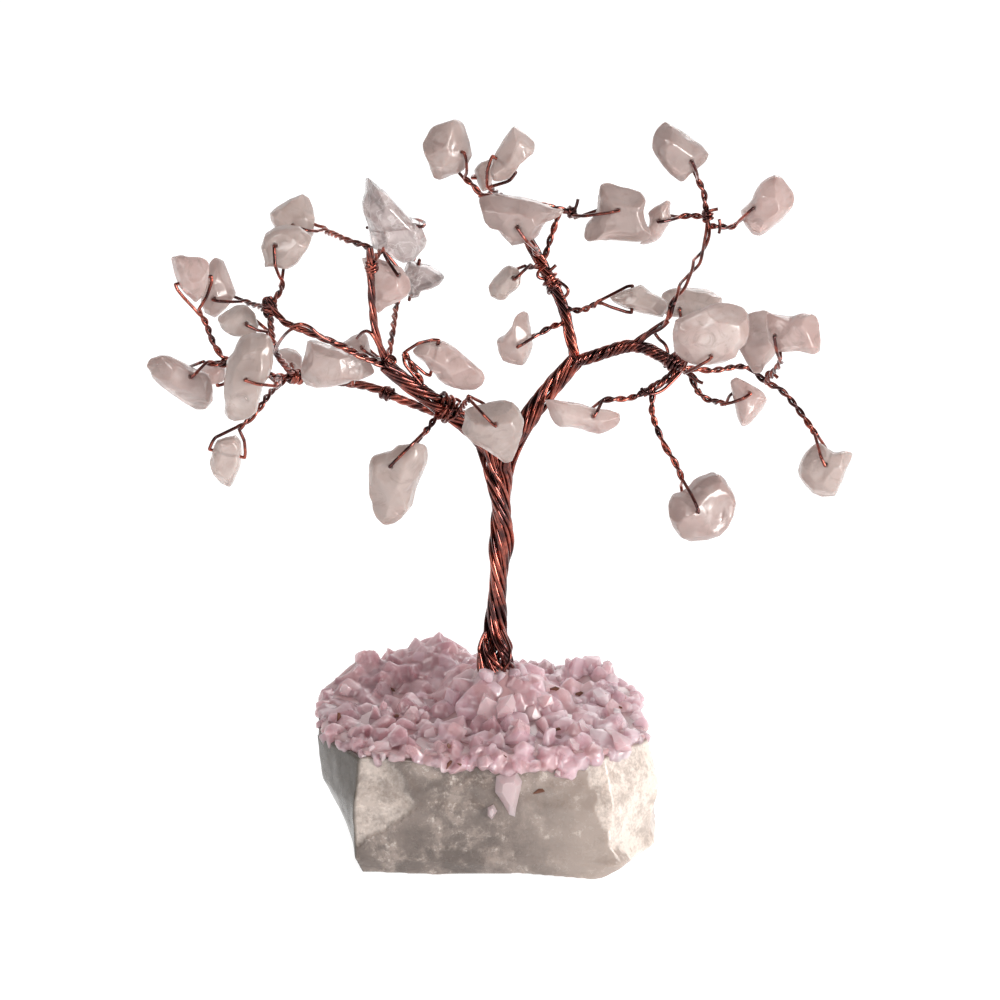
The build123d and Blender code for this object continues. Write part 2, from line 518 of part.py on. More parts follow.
def loop_points(sections, plane, thickness, hole, axis, leaving, swing):
    """Corners of the wire loop that holds a chip, and its crotch, clear of the chip as it swings."""
    sector = swing + sector_margin
    forward = [abs(axis.dot(plane.z_dir)) * thickness / 2]
    backward = [abs(axis.dot(plane.z_dir)) * thickness / 2]
    edge = [wire_dia]
    for height, corners in sections:
        for here, after in zip(corners, corners[1:] + corners[:1]):
            for step in range(edge_steps):
                spot = here + (after - here) * (step / edge_steps)
                offset = plane.from_local_coords(Vector(spot.X, spot.Y, height)) - hole
                rise = offset.dot(axis)
                out = offset - axis * rise
                inside = out.length < 2 * wire_dia or out.get_angle(leaving) < sector
                if inside:
                    forward.append(rise)
                    backward.append(-rise)
                    edge.append(out.length)
    high = max(forward) + leg_gap + wire_radius
    low = max(backward) + leg_gap + wire_radius
    reach = max(edge) + leg_gap + wire_radius
    crotch = hole + leaving * (reach + crotch_share * (high + low) / 2) + axis * ((high - low) / 2)
    return [hole + axis * high + leaving * reach, hole + axis * high, hole - axis * low,
            hole - axis * low + leaving * reach], crotch


def gem_solid(chip, number):
    """Tumbled chip: a ruled loft through its five outlines, drilled for its wire."""
    plane = gem_plane(chip.outline_pixels, chip.depth_share, chip.yaw, chip.tilt)
    thickness = chip.thickness_share * gem_thickness
    hole, axis, leaving = gem_axes(chip, plane)
    with BuildPart() as gem:
        for height, corners in gem_sections(chip.outline_pixels, plane, thickness, number):
            with BuildSketch(plane.offset(height)):
                with BuildLine():
                    Polyline(*[(corner.X, corner.Y) for corner in corners], close=True)
                make_face()
        loft(ruled=True)
        with Locations(Plane(hole, z_dir=axis)):
            Hole(wire_radius + hole_gap)
    return gem.part


def twig_solid(chip, number):
    """Twisted pair from a bundle to a chip, and the open loop that the chip is threaded on."""
    plane = gem_plane(chip.outline_pixels, chip.depth_share, chip.yaw, chip.tilt)
    thickness = chip.thickness_share * gem_thickness
    hole, axis, leaving = gem_axes(chip, plane)
    sections = gem_sections(chip.outline_pixels, plane, thickness, number)
    legs, crotch = loop_points(sections, plane, thickness, hole, axis, leaving, chip.swing)
    stem = [crotch] + [sighted(*spot) for spot in chip.route]
    onward = (stem[1] - stem[0]).normalized() * wire_dia
    beside = axis * (pair_share * wire_radius)
    points = [crotch + beside + onward, crotch + beside, *legs, crotch - beside, crotch - beside + onward]
    radii = [min(radius, loop_bend) for radius in corner_radii(points)]
    with BuildPart() as twig:
        add(tube(stem, 2 * wire_dia))
        add(tube(points, wire_dia, radii))
    return twig.part


def write(part, name):
    part.label = name
    export_step(part, "parts/" + name + ".step")


def inside(point, corners):
    """Whether a point lies inside a closed outline."""
    odd = False
    for (x0, y0), (x1, y1) in zip(corners, corners[1:] + corners[:1]):
        if (y0 > point[1]) != (y1 > point[1]):
            odd ^= point[0] < x0 + (x1 - x0) * (point[1] - y0) / (y1 - y0)
    return odd


# Trunk sizes that follow from its wires
slope = sqrt(1 + (2 * pi * strand_dia * strand_count / (2 * pi * twist_pitch)) ** 2)
ring_radius = strand_count * (strand_dia * slope + strand_gap) / (2 * pi)
trunk_radius = ring_radius + strand_dia / 2
core_radius = ring_radius - strand_dia / 2 - core_gap
socket_floor = stone_height - socket_depth
trunk_bottom = socket_floor + seat_gap
fork = sighted(*fork_pixel, 0)
trunk_length = fork.Z - trunk_bottom

# Quartz block with the drilled socket
with BuildPart() as base_stone:
    for level_share, outline_shares in stone_shares:
        with BuildSketch(Plane.XY.offset(level_share * stone_height)):
            with BuildLine():
                Polyline(*[(stone_offset + x * stone_width / 2, y * stone_depth / 2)
                           for x, y in outline_shares], close=True)
            make_face()
    loft(ruled=True)
    with Locations((0, 0, stone_height)):
        Hole(trunk_radius + socket_gap, depth=socket_depth)
write(base_stone.part, "base_stone")

# Glue layer over the block
bed_scale = 1 - 2 * bed_margin / stone_depth
bed_corners = [(stone_offset + x * bed_scale * stone_width / 2, y * bed_scale * stone_depth / 2)
               for x, y in stone_shares[-1][1]]
with BuildPart() as glue_bed:
    with BuildSketch(Plane.XY.offset(stone_height)):
        with BuildLine():
            Polyline(*bed_corners, close=True)
        make_face()
        Circle(trunk_radius + socket_gap, mode=Mode.SUBTRACT)
    extrude(amount=bed_thickness)
write(glue_bed.part, "glue_bed")

# Crushed quartz: blunt crystals in a staggered pattern, tallest round the trunk
chance = random.Random(11)
cell_radius = crush_pitch / 2 - crush_gap
row_step = crush_pitch * sqrt(3) / 2
row_count = ceil(stone_depth / row_step)
column_count = ceil(stone_width / crush_pitch)
cells = []
for row in range(-row_count // 2, row_count // 2 + 1):
    for column in range(-column_count // 2 - 1, column_count // 2 + 2):
        spot = ((column + 0.5 * (row % 2)) * crush_pitch + stone_offset, row * row_step)
        corners = [(spot[0] + cell_radius * cos(2 * pi * side / crush_sides),
                    spot[1] + cell_radius * sin(2 * pi * side / crush_sides)) for side in range(crush_sides)]
        clear = sqrt(spot[0] ** 2 + spot[1] ** 2) - cell_radius > trunk_radius + socket_gap
        if clear and inside(spot, bed_corners) and sum(inside(corner, bed_corners) for corner in corners) > 3:
            cells.append(spot)


def crystal(spot):
    """One crushed crystal: an uneven ring of corners drawn in to a small tilted-looking top."""
    start = chance.uniform(0, 360 / crush_sides)
    ring = []
    for side in range(crush_sides):
        angle = radians(start + (side + chance.uniform(*crystal_turn_shares)) * 360 / crush_sides)
        size = cell_radius * chance.uniform(*crystal_size_shares)
        ring.append(Vector(size * cos(angle), size * sin(angle)))
    away = sqrt(spot[0] ** 2 + spot[1] ** 2)
    tall = crush_height * chance.uniform(*crystal_height_shares)
    tall += mound_rise * exp(-(away / mound_radius) ** 2)
    lean_angle = chance.uniform(0, 2 * pi)
    lean = Vector(cos(lean_angle), sin(lean_angle)) * (cell_radius * crystal_lean_share)
    crystal_share = chance.uniform(*crystal_top_shares)
    centre = Vector(*spot)
    with BuildPart() as chip:
        for height, share, shift in ((bed_top, 1.0, Vector()), (bed_top + tall, crystal_share, lean)):
            with BuildSketch(Plane.XY.offset(height)):
                with BuildLine():
                    Polyline(*[centre + shift + corner * share for corner in ring], close=True)
                make_face()
        loft(ruled=True)
    return chip.part


# Splinter that hangs down the front of the block
(low_share, low_outline), (top_share, top_outline) = stone_shares[-2:]
front_low = (low_outline[1][1] + low_outline[2][1]) * stone_depth / 4
front_top = (top_outline[1][1] + top_outline[2][1]) * stone_depth / 4
front_tilt = degrees(atan2(front_top - front_low, (top_share - low_share) * stone_height))
splinter_depth = (front_low + front_top) / 2 - splinter_glue - splinter_thickness / 2
splinter_plane = gem_plane(splinter_pixels, splinter_depth / crown_depth, 0, front_tilt)
with BuildPart() as splinter:
    for height, corners in gem_sections(splinter_pixels, splinter_plane, splinter_thickness, 0):
        with BuildSketch(splinter_plane.offset(height)):
            with BuildLine():
                Polyline(*[(corner.X, corner.Y) for corner in corners], close=True)
            make_face()
    loft(ruled=True)

front_crystals = [crystal(spot) for spot in cells if spot[1] < 0]
back_crystals = [crystal(spot) for spot in cells if spot[1] >= 0]
write(Compound(children=front_crystals + [splinter.part]), "crushed_front")
write(Compound(children=back_crystals), "crushed_back")

# Trunk: a core of inner wires and the strands twisted about it
with BuildPart() as trunk_core:
    with BuildSketch(Plane.XY.offset(trunk_bottom)):
        Circle(core_radius)
    extrude(amount=trunk_length)
write(trunk_core.part, "trunk_core")

up = Vector(0, 0, 1)
strands = [winding(Vector(0, 0, trunk_bottom), up, view_right, ring_radius, -twist_pitch,
                   trunk_length / twist_pitch, 360 * number / strand_count, strand_dia)
           for number in range(strand_count)]
write(Compound(children=strands), "trunk_strands")

# Boughs and the thinner bundles
bundles = {
    "left_bough": [([fork] + [sighted(*spot) for spot in left_bough_route], left_bough_dia)],
    "right_bough": [([fork] + [sighted(*spot) for spot in right_bough_route], right_bough_dia)],
    "right_limb": [([sighted(*spot) for spot in right_limb_route], right_limb_dia)],
    "upper_bough": [([sighted(*spot) for spot in upper_bough_route], upper_bough_dia)],
    "left_low_strand": [([sighted(*spot) for spot in left_low_route], thick_strand_dia)],
    "left_high_strand": [([sighted(*spot) for spot in left_high_route], thick_strand_dia)],
    "left_outer_strands": [([sighted(*spot) for spot in left_stub_route], thick_strand_dia),
                           ([sighted(*spot) for spot in left_far_route], thin_strand_dia)],
    "left_risers": [([sighted(*spot) for spot in left_riser_route], thick_strand_dia),
                    ([sighted(*spot) for spot in left_back_route], thin_strand_dia)],
    "right_riser": [([sighted(*spot) for spot in right_riser_route], thin_strand_dia)],
    "right_outer_strand": [([sighted(*spot) for spot in right_outer_route], thin_strand_dia)],
    "right_low_strands": [([sighted(*spot) for spot in right_low_route], thick_strand_dia),
                          ([sighted(*spot) for spot in right_drop_route], thin_strand_dia)],
    "top_crossbar": [([sighted(*spot) for spot in crossbar_route], thin_strand_dia),
                     ([sighted(*spot) for spot in crossbar_post_route], thin_strand_dia)],
}
for name, rods in bundles.items():
    with BuildPart() as bundle:
        for points, diameter in rods:
            add(tube(points, diameter))
    write(bundle.part, name)

# Short wraps that bind the bundles
wraps = []
for first, second, diameter in wrap_spots:
    low, high = sighted(*first), sighted(*second)
    axis = (high - low).normalized()
    across = axis.cross(view_axis).normalized()
    start = (low + high) * 0.5 - axis * (wrap_turns * wrap_pitch / 2)
    wraps.append(winding(start, axis, across, diameter / 2 + wrap_gap + wire_radius, wrap_pitch, wrap_turns,
                         0, wire_dia))
write(Compound(children=wraps), "binding_wraps")

# Chips and twigs, group by group
groups = {"left_twigs": left_gems, "centre_twigs": centre_gems, "top_twigs": top_gems,
          "right_twigs": right_gems}
number = 0
for group, chips in groups.items():
    twigs = []
    for name, chip in chips.items():
        number += 1
        write(gem_solid(chip, number), name)
        twigs.append(twig_solid(chip, number))
    write(Compound(children=twigs), group)
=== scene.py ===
import json
import math
import random

import bmesh
import bpy
import numpy as np
from mathutils import Euler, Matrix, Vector, noise
from mathutils.bvhtree import BVHTree
from mathutils.kdtree import KDTree


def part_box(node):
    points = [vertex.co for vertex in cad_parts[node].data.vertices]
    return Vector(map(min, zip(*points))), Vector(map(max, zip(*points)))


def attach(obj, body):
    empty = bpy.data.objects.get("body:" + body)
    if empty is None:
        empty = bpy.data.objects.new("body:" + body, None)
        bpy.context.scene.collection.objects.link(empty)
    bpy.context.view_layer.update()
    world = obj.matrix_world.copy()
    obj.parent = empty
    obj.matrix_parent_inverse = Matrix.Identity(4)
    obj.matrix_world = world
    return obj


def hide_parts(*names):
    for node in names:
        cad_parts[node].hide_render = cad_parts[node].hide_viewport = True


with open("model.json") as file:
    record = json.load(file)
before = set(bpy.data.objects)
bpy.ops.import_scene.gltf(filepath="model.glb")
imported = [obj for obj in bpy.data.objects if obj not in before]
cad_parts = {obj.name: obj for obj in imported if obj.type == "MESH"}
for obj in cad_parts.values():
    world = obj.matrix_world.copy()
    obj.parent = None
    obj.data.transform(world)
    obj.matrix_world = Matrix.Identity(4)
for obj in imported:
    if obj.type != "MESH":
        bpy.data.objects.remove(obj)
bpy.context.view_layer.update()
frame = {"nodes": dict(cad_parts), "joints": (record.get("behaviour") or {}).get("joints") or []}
scene = bpy.context.scene
scene.view_settings.view_transform = "Standard"
hinges = {joint["child"]: joint for joint in frame["joints"]}
mm = 0.001
print("frame loaded,", len(frame["nodes"]), "nodes")

# how the photograph sees the tree
sight = {
    "lookDown": math.radians(17), "distance": 420 * mm, "span": 150 * mm, "pixels": 1000,
    "crownDepth": 20 * mm, "footPixel": (498, 668), "footAboveStone": 7.3 * mm, "forkPixel": (500, 452),
}
lookAlong = Vector((0, math.cos(sight["lookDown"]), -math.sin(sight["lookDown"])))
lookUp = Vector((0, math.sin(sight["lookDown"]), math.cos(sight["lookDown"])))
lookRight = Vector((1, 0, 0))
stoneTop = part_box("base_stone")[1].z


def rayTo(across, down):  # from the eye through a pixel
    pixel = sight["span"] / sight["pixels"]
    half = sight["pixels"] / 2
    ray = lookAlong * sight["distance"]
    return ray + lookRight * ((across - half) * pixel) + lookUp * ((half - down) * pixel)


eye = Vector((0, 0, stoneTop + sight["footAboveStone"])) - rayTo(*sight["footPixel"])


def sighted(across, down, depthShare):  # the point seen at a pixel, at a depth along Y
    ray = rayTo(across, down)
    return eye + ray * ((depthShare * sight["crownDepth"] - eye.y) / ray.y)


def routed(spots):
    return [sighted(*spot) for spot in spots]


def addCamera():
    lens = bpy.data.cameras.new("camera")
    lens.sensor_width = 36
    lens.lens = lens.sensor_width * sight["distance"] / sight["span"]
    camera = bpy.data.objects.new("camera", lens)
    camera.location = eye
    camera.rotation_euler = (math.pi / 2 - sight["lookDown"], 0, 0)
    scene.collection.objects.link(camera)
    scene.camera = camera


addCamera()
print("camera placed")


# shader sockets with arithmetic
class Flow:
    def __init__(self, tree, out=None):
        self.tree = tree
        self.out = out

    def node(self, kind, settings=None, sockets=None, out=0):
        made = self.tree.nodes.new("ShaderNode" + kind)
        for key, value in (settings or {}).items():
            if key == "stops":
                self.fillRamp(made.color_ramp, value)
            else:
                setattr(made, key, value)
        for key, value in (sockets or {}).items():
            if isinstance(value, Flow):
                self.tree.links.new(value.out, made.inputs[key])
            else:
                made.inputs[key].default_value = value
        return Flow(self.tree, made.outputs[out] if made.outputs else None)

    @staticmethod
    def fillRamp(ramp, stops):
        while len(ramp.elements) < len(stops):
            ramp.elements.new(1)
        for element, (position, colour) in zip(ramp.elements, stops):
            element.position = position
            element.color = colour

    def maths(self, operation, first, second):
        return self.node("Math", {"operation": operation}, {0: first, 1: second})

    def __add__(self, other):
        return self.maths("ADD", self, other)

    def __sub__(self, other):
        return self.maths("SUBTRACT", self, other)

    def __rsub__(self, other):
        return self.maths("SUBTRACT", other, self)

    def __mul__(self, other):
        return self.maths("MULTIPLY", self, other)

    __radd__ = __add__
    __rmul__ = __mul__

    def between(self, low, high):  # 0 below low, 1 above high, smooth between
        return self.node("MapRange", {"interpolation_type": "SMOOTHSTEP"},
                         {"Value": self, "From Min": low, "From Max": high})

    def mixed(self, first, second):  # two colours, by this share of the second
        return self.node("Mix", {"data_type": "RGBA"}, {0: self, 6: first, 7: second}, 2)


def tone(red, green, blue):  # a colour as the eye reads it, 0 to 255, in linear light
    shares = [value / 255 for value in (red, green, blue)]
    return tuple(s / 12.92 if s < 0.04 else ((s + 0.055) / 1.055) ** 2.4 for s in shares) + (1,)


def startMaterial(name):
    material = bpy.data.materials.new(name)
    material.use_nodes = True
    material.node_tree.nodes.clear()
    flow = Flow(material.node_tree)
    return material, flow, flow.node("TexCoord", out="Object")


def closeMaterial(flow, sockets):
    shader = flow.node("BsdfPrincipled", {}, sockets)
    flow.node("OutputMaterial", {}, {"Surface": shader})


def grainOf(flow, place, scale, detail=4, roughness=0.5, distortion=0):
    return flow.node("TexNoise", {}, {"Vector": place, "Scale": scale, "Detail": detail, "Lacunarity": 2.17,
                                      "Roughness": roughness, "Distortion": distortion})


def shareOf(flow, name):  # a share that the mesh carries at each point
    return flow.node("Attribute", {"attribute_name": name}, out="Fac")


def bumped(flow, strength, distance, height):
    return flow.node("Bump", {}, {"Strength": strength, "Distance": distance, "Height": height})


def milky(weight, radius, scale):  # quartz, with light that wanders under its surface
    return {"IOR": 1.54, "Subsurface Weight": weight, "Subsurface Radius": radius, "Subsurface Scale": scale}


copperLook = {"dark": tone(66, 23, 21), "bright": tone(178, 90, 72), "patch": 380, "scratch": 2600}


def copperMaterial():
    material, flow, place = startMaterial("copper")
    patch = grainOf(flow, place, copperLook["patch"], 5, 0.6)
    scratch = grainOf(flow, place, copperLook["scratch"], 3)
    colour = patch.between(0.38, 0.7).mixed(copperLook["dark"], copperLook["bright"])
    closeMaterial(flow, {
        "Base Color": colour, "Metallic": 1.0, "Roughness": 0.06 + 0.11 * patch + 0.04 * scratch,
        "Coat Weight": 0.7, "Coat Roughness": 0.06,
        "Normal": bumped(flow, 0.1, 0.00004, scratch),
    })
    return material


roseLook = {"grey": tone(188, 172, 166), "pink": tone(196, 172, 167), "pale": tone(220, 208, 203),
            "veil": tone(158, 141, 136), "stain": tone(160, 126, 110),
            "cloud": 150, "feather": 340, "pit": 1100}


def roseMaterial():
    material, flow, place = startMaterial("rose_quartz")
    own = flow.node("ObjectInfo", out="Random")
    cloud = grainOf(flow, place, roseLook["cloud"], 5, 0.55, 0.6)
    feather = grainOf(flow, place, roseLook["feather"], 7, 0.65, 1.2)
    pit = grainOf(flow, place, roseLook["pit"], 3, 0.5)
    colour = own.between(0.1, 0.9).mixed(roseLook["grey"], roseLook["pink"])
    colour = (cloud.between(0.45, 0.75) * 0.7).mixed(colour, roseLook["pale"])
    colour = (feather.between(0.5, 0.7) * 0.6).mixed(colour, roseLook["veil"])
    stain = feather.between(0.66, 0.74) * cloud.between(0.55, 0.68) * 0.4
    colour = stain.mixed(colour, roseLook["stain"])
    smoky = shareOf(flow, "smoky")
    colour = (smoky * 0.6).mixed(colour, roseLook["veil"])
    closeMaterial(flow, {
        "Base Color": colour, "Roughness": 0.13 + 0.2 * feather,
        **milky(0.8, (1, 0.8, 0.75), 0.0018),
        "Transmission Weight": 0.45, "Coat Weight": 0.12, "Coat Roughness": 0.04,
        "Emission Color": colour, "Emission Strength": 0.08,  # painted light: a faint glow in the chip's colour stands in for light that comes through it
        "Normal": bumped(flow, 0.22, 0.0001, pit),
    })
    return material


crystalLook = {"body": tone(212, 198, 196), "haze": tone(236, 228, 226), "smoke": tone(178, 162, 160),
               "cloud": 170, "crack": 300}


def crystalMaterial():  # the clear pointed chips, with white cracks in them
    material, flow, place = startMaterial("veined_crystal")
    cloud = grainOf(flow, place, crystalLook["cloud"], 6, 0.6, 1.0)
    crack = grainOf(flow, place, crystalLook["crack"], 4, 0.5, 2.0)
    crackLine = crack.between(0.44, 0.48) * (1 - crack.between(0.5, 0.54))
    colour = cloud.between(0.4, 0.65).mixed(crystalLook["body"], crystalLook["smoke"])
    colour = (crackLine * 0.8).mixed(colour, crystalLook["haze"])
    closeMaterial(flow, {
        "Base Color": colour, "Roughness": 0.04 + 0.14 * cloud,
        **milky(0.6, (1, 0.9, 0.9), 0.0015),
        "Transmission Weight": 0.6, "Coat Weight": 0.6, "Coat Roughness": 0.03,
        "Normal": bumped(flow, 0.1, 0.0001, crackLine),
    })
    return material


crushLook = {"tintsAndPaintedLight": [(0.0, tone(156, 121, 127)), (0.3, tone(172, 135, 142)), (0.5, tone(190, 152, 155)),
                       (0.65, tone(192, 158, 167)), (0.85, tone(206, 173, 180)), (1.0, tone(214, 190, 195))],
             "frost": tone(222, 200, 204), "rust": tone(128, 74, 52), "cloud": 260, "speck": 700}


def crushedMaterial():
    material, flow, place = startMaterial("crushed_quartz")
    # each chip's tint, with painted light: paler towards the right
    own = shareOf(flow, "tint")
    tint = flow.node("ValToRGB", {"stops": crushLook["tintsAndPaintedLight"]}, {0: own})
    cloud = grainOf(flow, place, crushLook["cloud"], 6, 0.62, 0.5)
    speck = grainOf(flow, place, crushLook["speck"], 2, 0.4)
    colour = (cloud.between(0.46, 0.72) * 0.45).mixed(tint, crushLook["frost"])
    colour = (speck.between(0.74, 0.79) * own.between(0.6, 0.62) * 0.8).mixed(colour, crushLook["rust"])
    closeMaterial(flow, {
        "Base Color": colour, "Roughness": 0.16 + 0.3 * cloud,
        **milky(1.0, (1, 0.75, 0.75), 0.006),
        "Transmission Weight": 0.15, "Coat Weight": 0.2, "Coat Roughness": 0.08,
        "Emission Color": colour, "Emission Strength": 0.12,  # painted light: a faint glow in the chips' colour fills their shade and stands in for light that comes through them
        "Normal": bumped(flow, 0.3, 0.00015, 0.5 * cloud + 0.5 * speck),
    })
    return material


clearLook = {"body": tone(240, 224, 225), "haze": tone(218, 188, 194), "glow": tone(228, 200, 204)}


def clearMaterial():  # the few glassy chips
    material, flow, place = startMaterial("clear_quartz")
    cloud = grainOf(flow, place, crushLook["cloud"], 5, 0.6, 0.8)
    closeMaterial(flow, {
        "Base Color": cloud.mixed(clearLook["body"], clearLook["haze"]), "Roughness": 0.1 + 0.16 * cloud,
        **milky(0.7, (1, 0.8, 0.8), 0.002),
        "Transmission Weight": 0.5, "Coat Weight": 0.15, "Coat Roughness": 0.04,
        # painted light: a faint glow that stands in for light coming through the chips
        "Emission Color": clearLook["glow"], "Emission Strength": 0.1,
        "Normal": bumped(flow, 0.25, 0.0001, cloud),
    })
    return material


rustLook = {"dark": tone(58, 28, 24), "bright": tone(132, 84, 60), "patch": 1800}


def rustMaterial():  # dark flecks of dirt and tarnished wire between the chips
    material, flow, place = startMaterial("rust_fleck")
    patch = grainOf(flow, place, rustLook["patch"], 4, 0.6)
    closeMaterial(flow, {"Base Color": patch.mixed(rustLook["dark"], rustLook["bright"]),
                         "Roughness": 0.4 + 0.3 * patch})
    return material


rawLook = {"dark": tone(96, 85, 79), "body": tone(127, 114, 107), "pale": tone(174, 159, 150),
           "frost": tone(182, 169, 160), "bright": tone(226, 213, 204), "shade": tone(78, 70, 62),
           "fleck": tone(214, 203, 195), "stain": tone(126, 100, 84),
           "cloud": 110, "vein": 240, "grain": 1000, "sugar": 2400, "streak": (1, 1, 0.15), "lines": 1100}


def rawMaterial():
    material, flow, place = startMaterial("raw_quartz")
    cloud = grainOf(flow, place, rawLook["cloud"], 6, 0.6, 0.2)
    vein = grainOf(flow, place, rawLook["vein"], 8, 0.68, 0.25)
    grain = grainOf(flow, place, rawLook["grain"], 6, 0.65)
    sugar = grainOf(flow, place, rawLook["sugar"], 3, 0.6)
    drawn = flow.node("VectorMath", {"operation": "MULTIPLY"}, {0: place, 1: rawLook["streak"]})
    lines = grainOf(flow, drawn, rawLook["lines"], 4, 0.6)
    frost = shareOf(flow, "frost")
    shade = shareOf(flow, "shade")
    glow = shareOf(flow, "glow")
    colour = cloud.between(0.36, 0.62).mixed(rawLook["dark"], rawLook["body"])
    colour = (vein.between(0.46, 0.66) * (0.6 - 0.5 * shade)).mixed(colour, rawLook["pale"])
    # painted light: the right side mixed towards a paler tone
    colour = (glow * 0.8).mixed(colour, rawLook["pale"])
    # painted shade: the left-facing side mixed towards a darker tone
    colour = (shade * 0.9).mixed(colour, rawLook["shade"])
    flecks = (0.6 * grain + 0.4 * sugar).between(0.5, 0.62) * vein.between(0.5, 0.62) * (1 - shade)
    colour = (flecks * 0.6).mixed(colour, rawLook["fleck"])
    frosted = (0.6 * vein + 0.4 * sugar).between(0.38, 0.58).mixed(rawLook["frost"], rawLook["bright"])
    colour = (frost * (0.6 + 0.4 * vein.between(0.35, 0.6))).mixed(colour, frosted)
    colour = (lines.between(0.6, 0.7) * frost * 0.35).mixed(colour, rawLook["stain"])
    height = (grain + 0.4 * sugar) * (0.5 - 0.35 * shade) + flecks * 0.4 + frost * lines * 0.5
    closeMaterial(flow, {
        "Base Color": colour, "Roughness": 0.16 + 0.2 * grain + 0.12 * frost,
        **milky(0.5, (1, 0.85, 0.75), 0.002),
        "Coat Weight": 0.2, "Coat Roughness": 0.12,
        "Normal": bumped(flow, 0.45, 0.0002, height),
    })
    return material


glueLook = {"body": tone(172, 134, 136), "pale": tone(200, 166, 168), "swirl": 240}


def glueMaterial():
    material, flow, place = startMaterial("clear_glue")
    swirl = grainOf(flow, place, glueLook["swirl"], 4, 0.5, 0.5)
    closeMaterial(flow, {
        "Base Color": swirl.mixed(glueLook["body"], glueLook["pale"]), "Roughness": 0.12 + 0.14 * swirl,
        **milky(0.7, (1, 0.7, 0.7), 0.0015), "IOR": 1.5,
        "Coat Weight": 0.4, "Coat Roughness": 0.05,
        "Normal": bumped(flow, 0.3, 0.0003, swirl),
    })
    return material


copper = copperMaterial()
roseQuartz = roseMaterial()
veinedCrystal = crystalMaterial()
crushedQuartz = crushedMaterial()
clearQuartz = clearMaterial()
rust = rustMaterial()
rawQuartz = rawMaterial()
clearGlue = glueMaterial()
print("materials made")


# pieces and their meshes
def addPiece(name, mesh, smooth=True):
    mesh.polygons.foreach_set("use_smooth", [smooth] * len(mesh.polygons))
    mesh.name = name
    piece = bpy.data.objects.new(name, mesh)
    scene.collection.objects.link(piece)
    return piece


def settle(piece, material, body, slotName, *nodes):
    piece.data.materials.clear()
    piece.data.materials.append(material)
    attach(piece, body)
    if nodes:
        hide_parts(*nodes)
    return piece


def bakeModifiers(piece):
    view = bpy.context.evaluated_depsgraph_get()
    mesh = bpy.data.meshes.new_from_object(piece.evaluated_get(view))
    piece.modifiers.clear()
    old = piece.data
    piece.data = mesh
    bpy.data.meshes.remove(old)
    mesh.name = piece.name
    mesh.polygons.foreach_set("use_smooth", [True] * len(mesh.polygons))


def addEase(piece, iterations):
    ease = piece.modifiers.new("ease", "SMOOTH")
    ease.factor = 0.5
    ease.iterations = iterations


def remeshed(name, mesh, voxel, iterations):
    piece = addPiece(name, mesh)
    shape = piece.modifiers.new("voxels", "REMESH")
    shape.mode = "VOXEL"
    shape.voxel_size = voxel
    addEase(piece, iterations)
    return piece


def readPoints(mesh):
    points = np.zeros(len(mesh.vertices) * 3)
    mesh.vertices.foreach_get("co", points)
    return points.reshape(-1, 3)


def readNormals(mesh):
    return np.array([vertex.normal for vertex in mesh.vertices])


def writePoints(mesh, points):
    mesh.vertices.foreach_set("co", points.ravel())
    mesh.update()


def noiseAt(points, wave, shift=Vector()):
    return np.array([noise.noise(Vector(point) / wave + shift) for point in points])


def eased(values, low, high):  # 0 below low, 1 above high
    share = np.clip((values - low) / (high - low), 0, 1)
    return share * share * (3 - 2 * share)


def addShare(mesh, name, values):
    mesh.attributes.new(name, "FLOAT", "POINT").data.foreach_set("value", values.astype(np.float32))


def triple(draw, low, high):
    return [draw(low, high) for axis in range(3)]


def treeOf(mesh):  # for casting rays at a mesh
    return BVHTree.FromPolygons([v.co for v in mesh.vertices], [list(p.vertices) for p in mesh.polygons])


# lines of wire
def smoothLine(points, steps=8):  # points read from a smooth spline that the route's points control
    curve = bpy.data.curves.new("line", "CURVE")
    curve.dimensions = "3D"
    spline = curve.splines.new("NURBS")
    spline.points.add(len(points) - 1)
    for spot, place in zip(spline.points, points):
        spot.co = (*place, 1)
    spline.order_u = 3
    spline.use_endpoint_u = True
    spline.resolution_u = steps
    holder = bpy.data.objects.new("line", curve)
    mesh = bpy.data.meshes.new_from_object(holder)
    line = np.array([vertex.co for vertex in mesh.vertices])
    bpy.data.meshes.remove(mesh)
    bpy.data.objects.remove(holder)
    bpy.data.curves.remove(curve)
    return line


def lengthsAlong(line):
    steps = np.linalg.norm(np.diff(line, axis=0), axis=1)
    return np.concatenate([[0], np.cumsum(steps)])


def evenLine(line, step, start=0, end=None):  # the stretch from start to end, in even steps
    along = lengthsAlong(line)
    end = along[-1] if end is None else end
    places = np.linspace(start, end, max(3, round((end - start) / step) + 1))
    return np.stack([np.interp(places, along, line[:, axis]) for axis in range(3)], axis=1)


def lineSides(line):  # two sides of the line at each point, with no twist of their own
    ahead = np.gradient(line, axis=0)
    ahead /= np.linalg.norm(ahead, axis=1)[:, None]
    side = np.cross([0, 1, 0] if abs(ahead[0][1]) < 0.9 else [1, 0, 0], ahead[0])
    sides = []
    for heading in ahead:
        side = side - heading * side.dot(heading)
        side = side / np.linalg.norm(side)
        sides.append(side)
    sides = np.array(sides)
    return sides, np.cross(ahead, sides)


def drift(along, seed, wave):  # slow random sway from -1 to 1
    return np.array([noise.noise(Vector((place / wave, seed * 7.31, seed * 1.7))) for place in along]) * 1.6


def ringAt(along, ring):  # a size at each place, from one size or a list of shares and sizes
    if not isinstance(ring, list):
        return np.full(len(along), ring)
    return np.interp(along / along[-1], [share for share, size in ring], [size for share, size in ring])


lay = {"sway": 0.35, "swayWave": 9 * mm, "looseWave": 6 * mm, "unevenWave": 5 * mm}


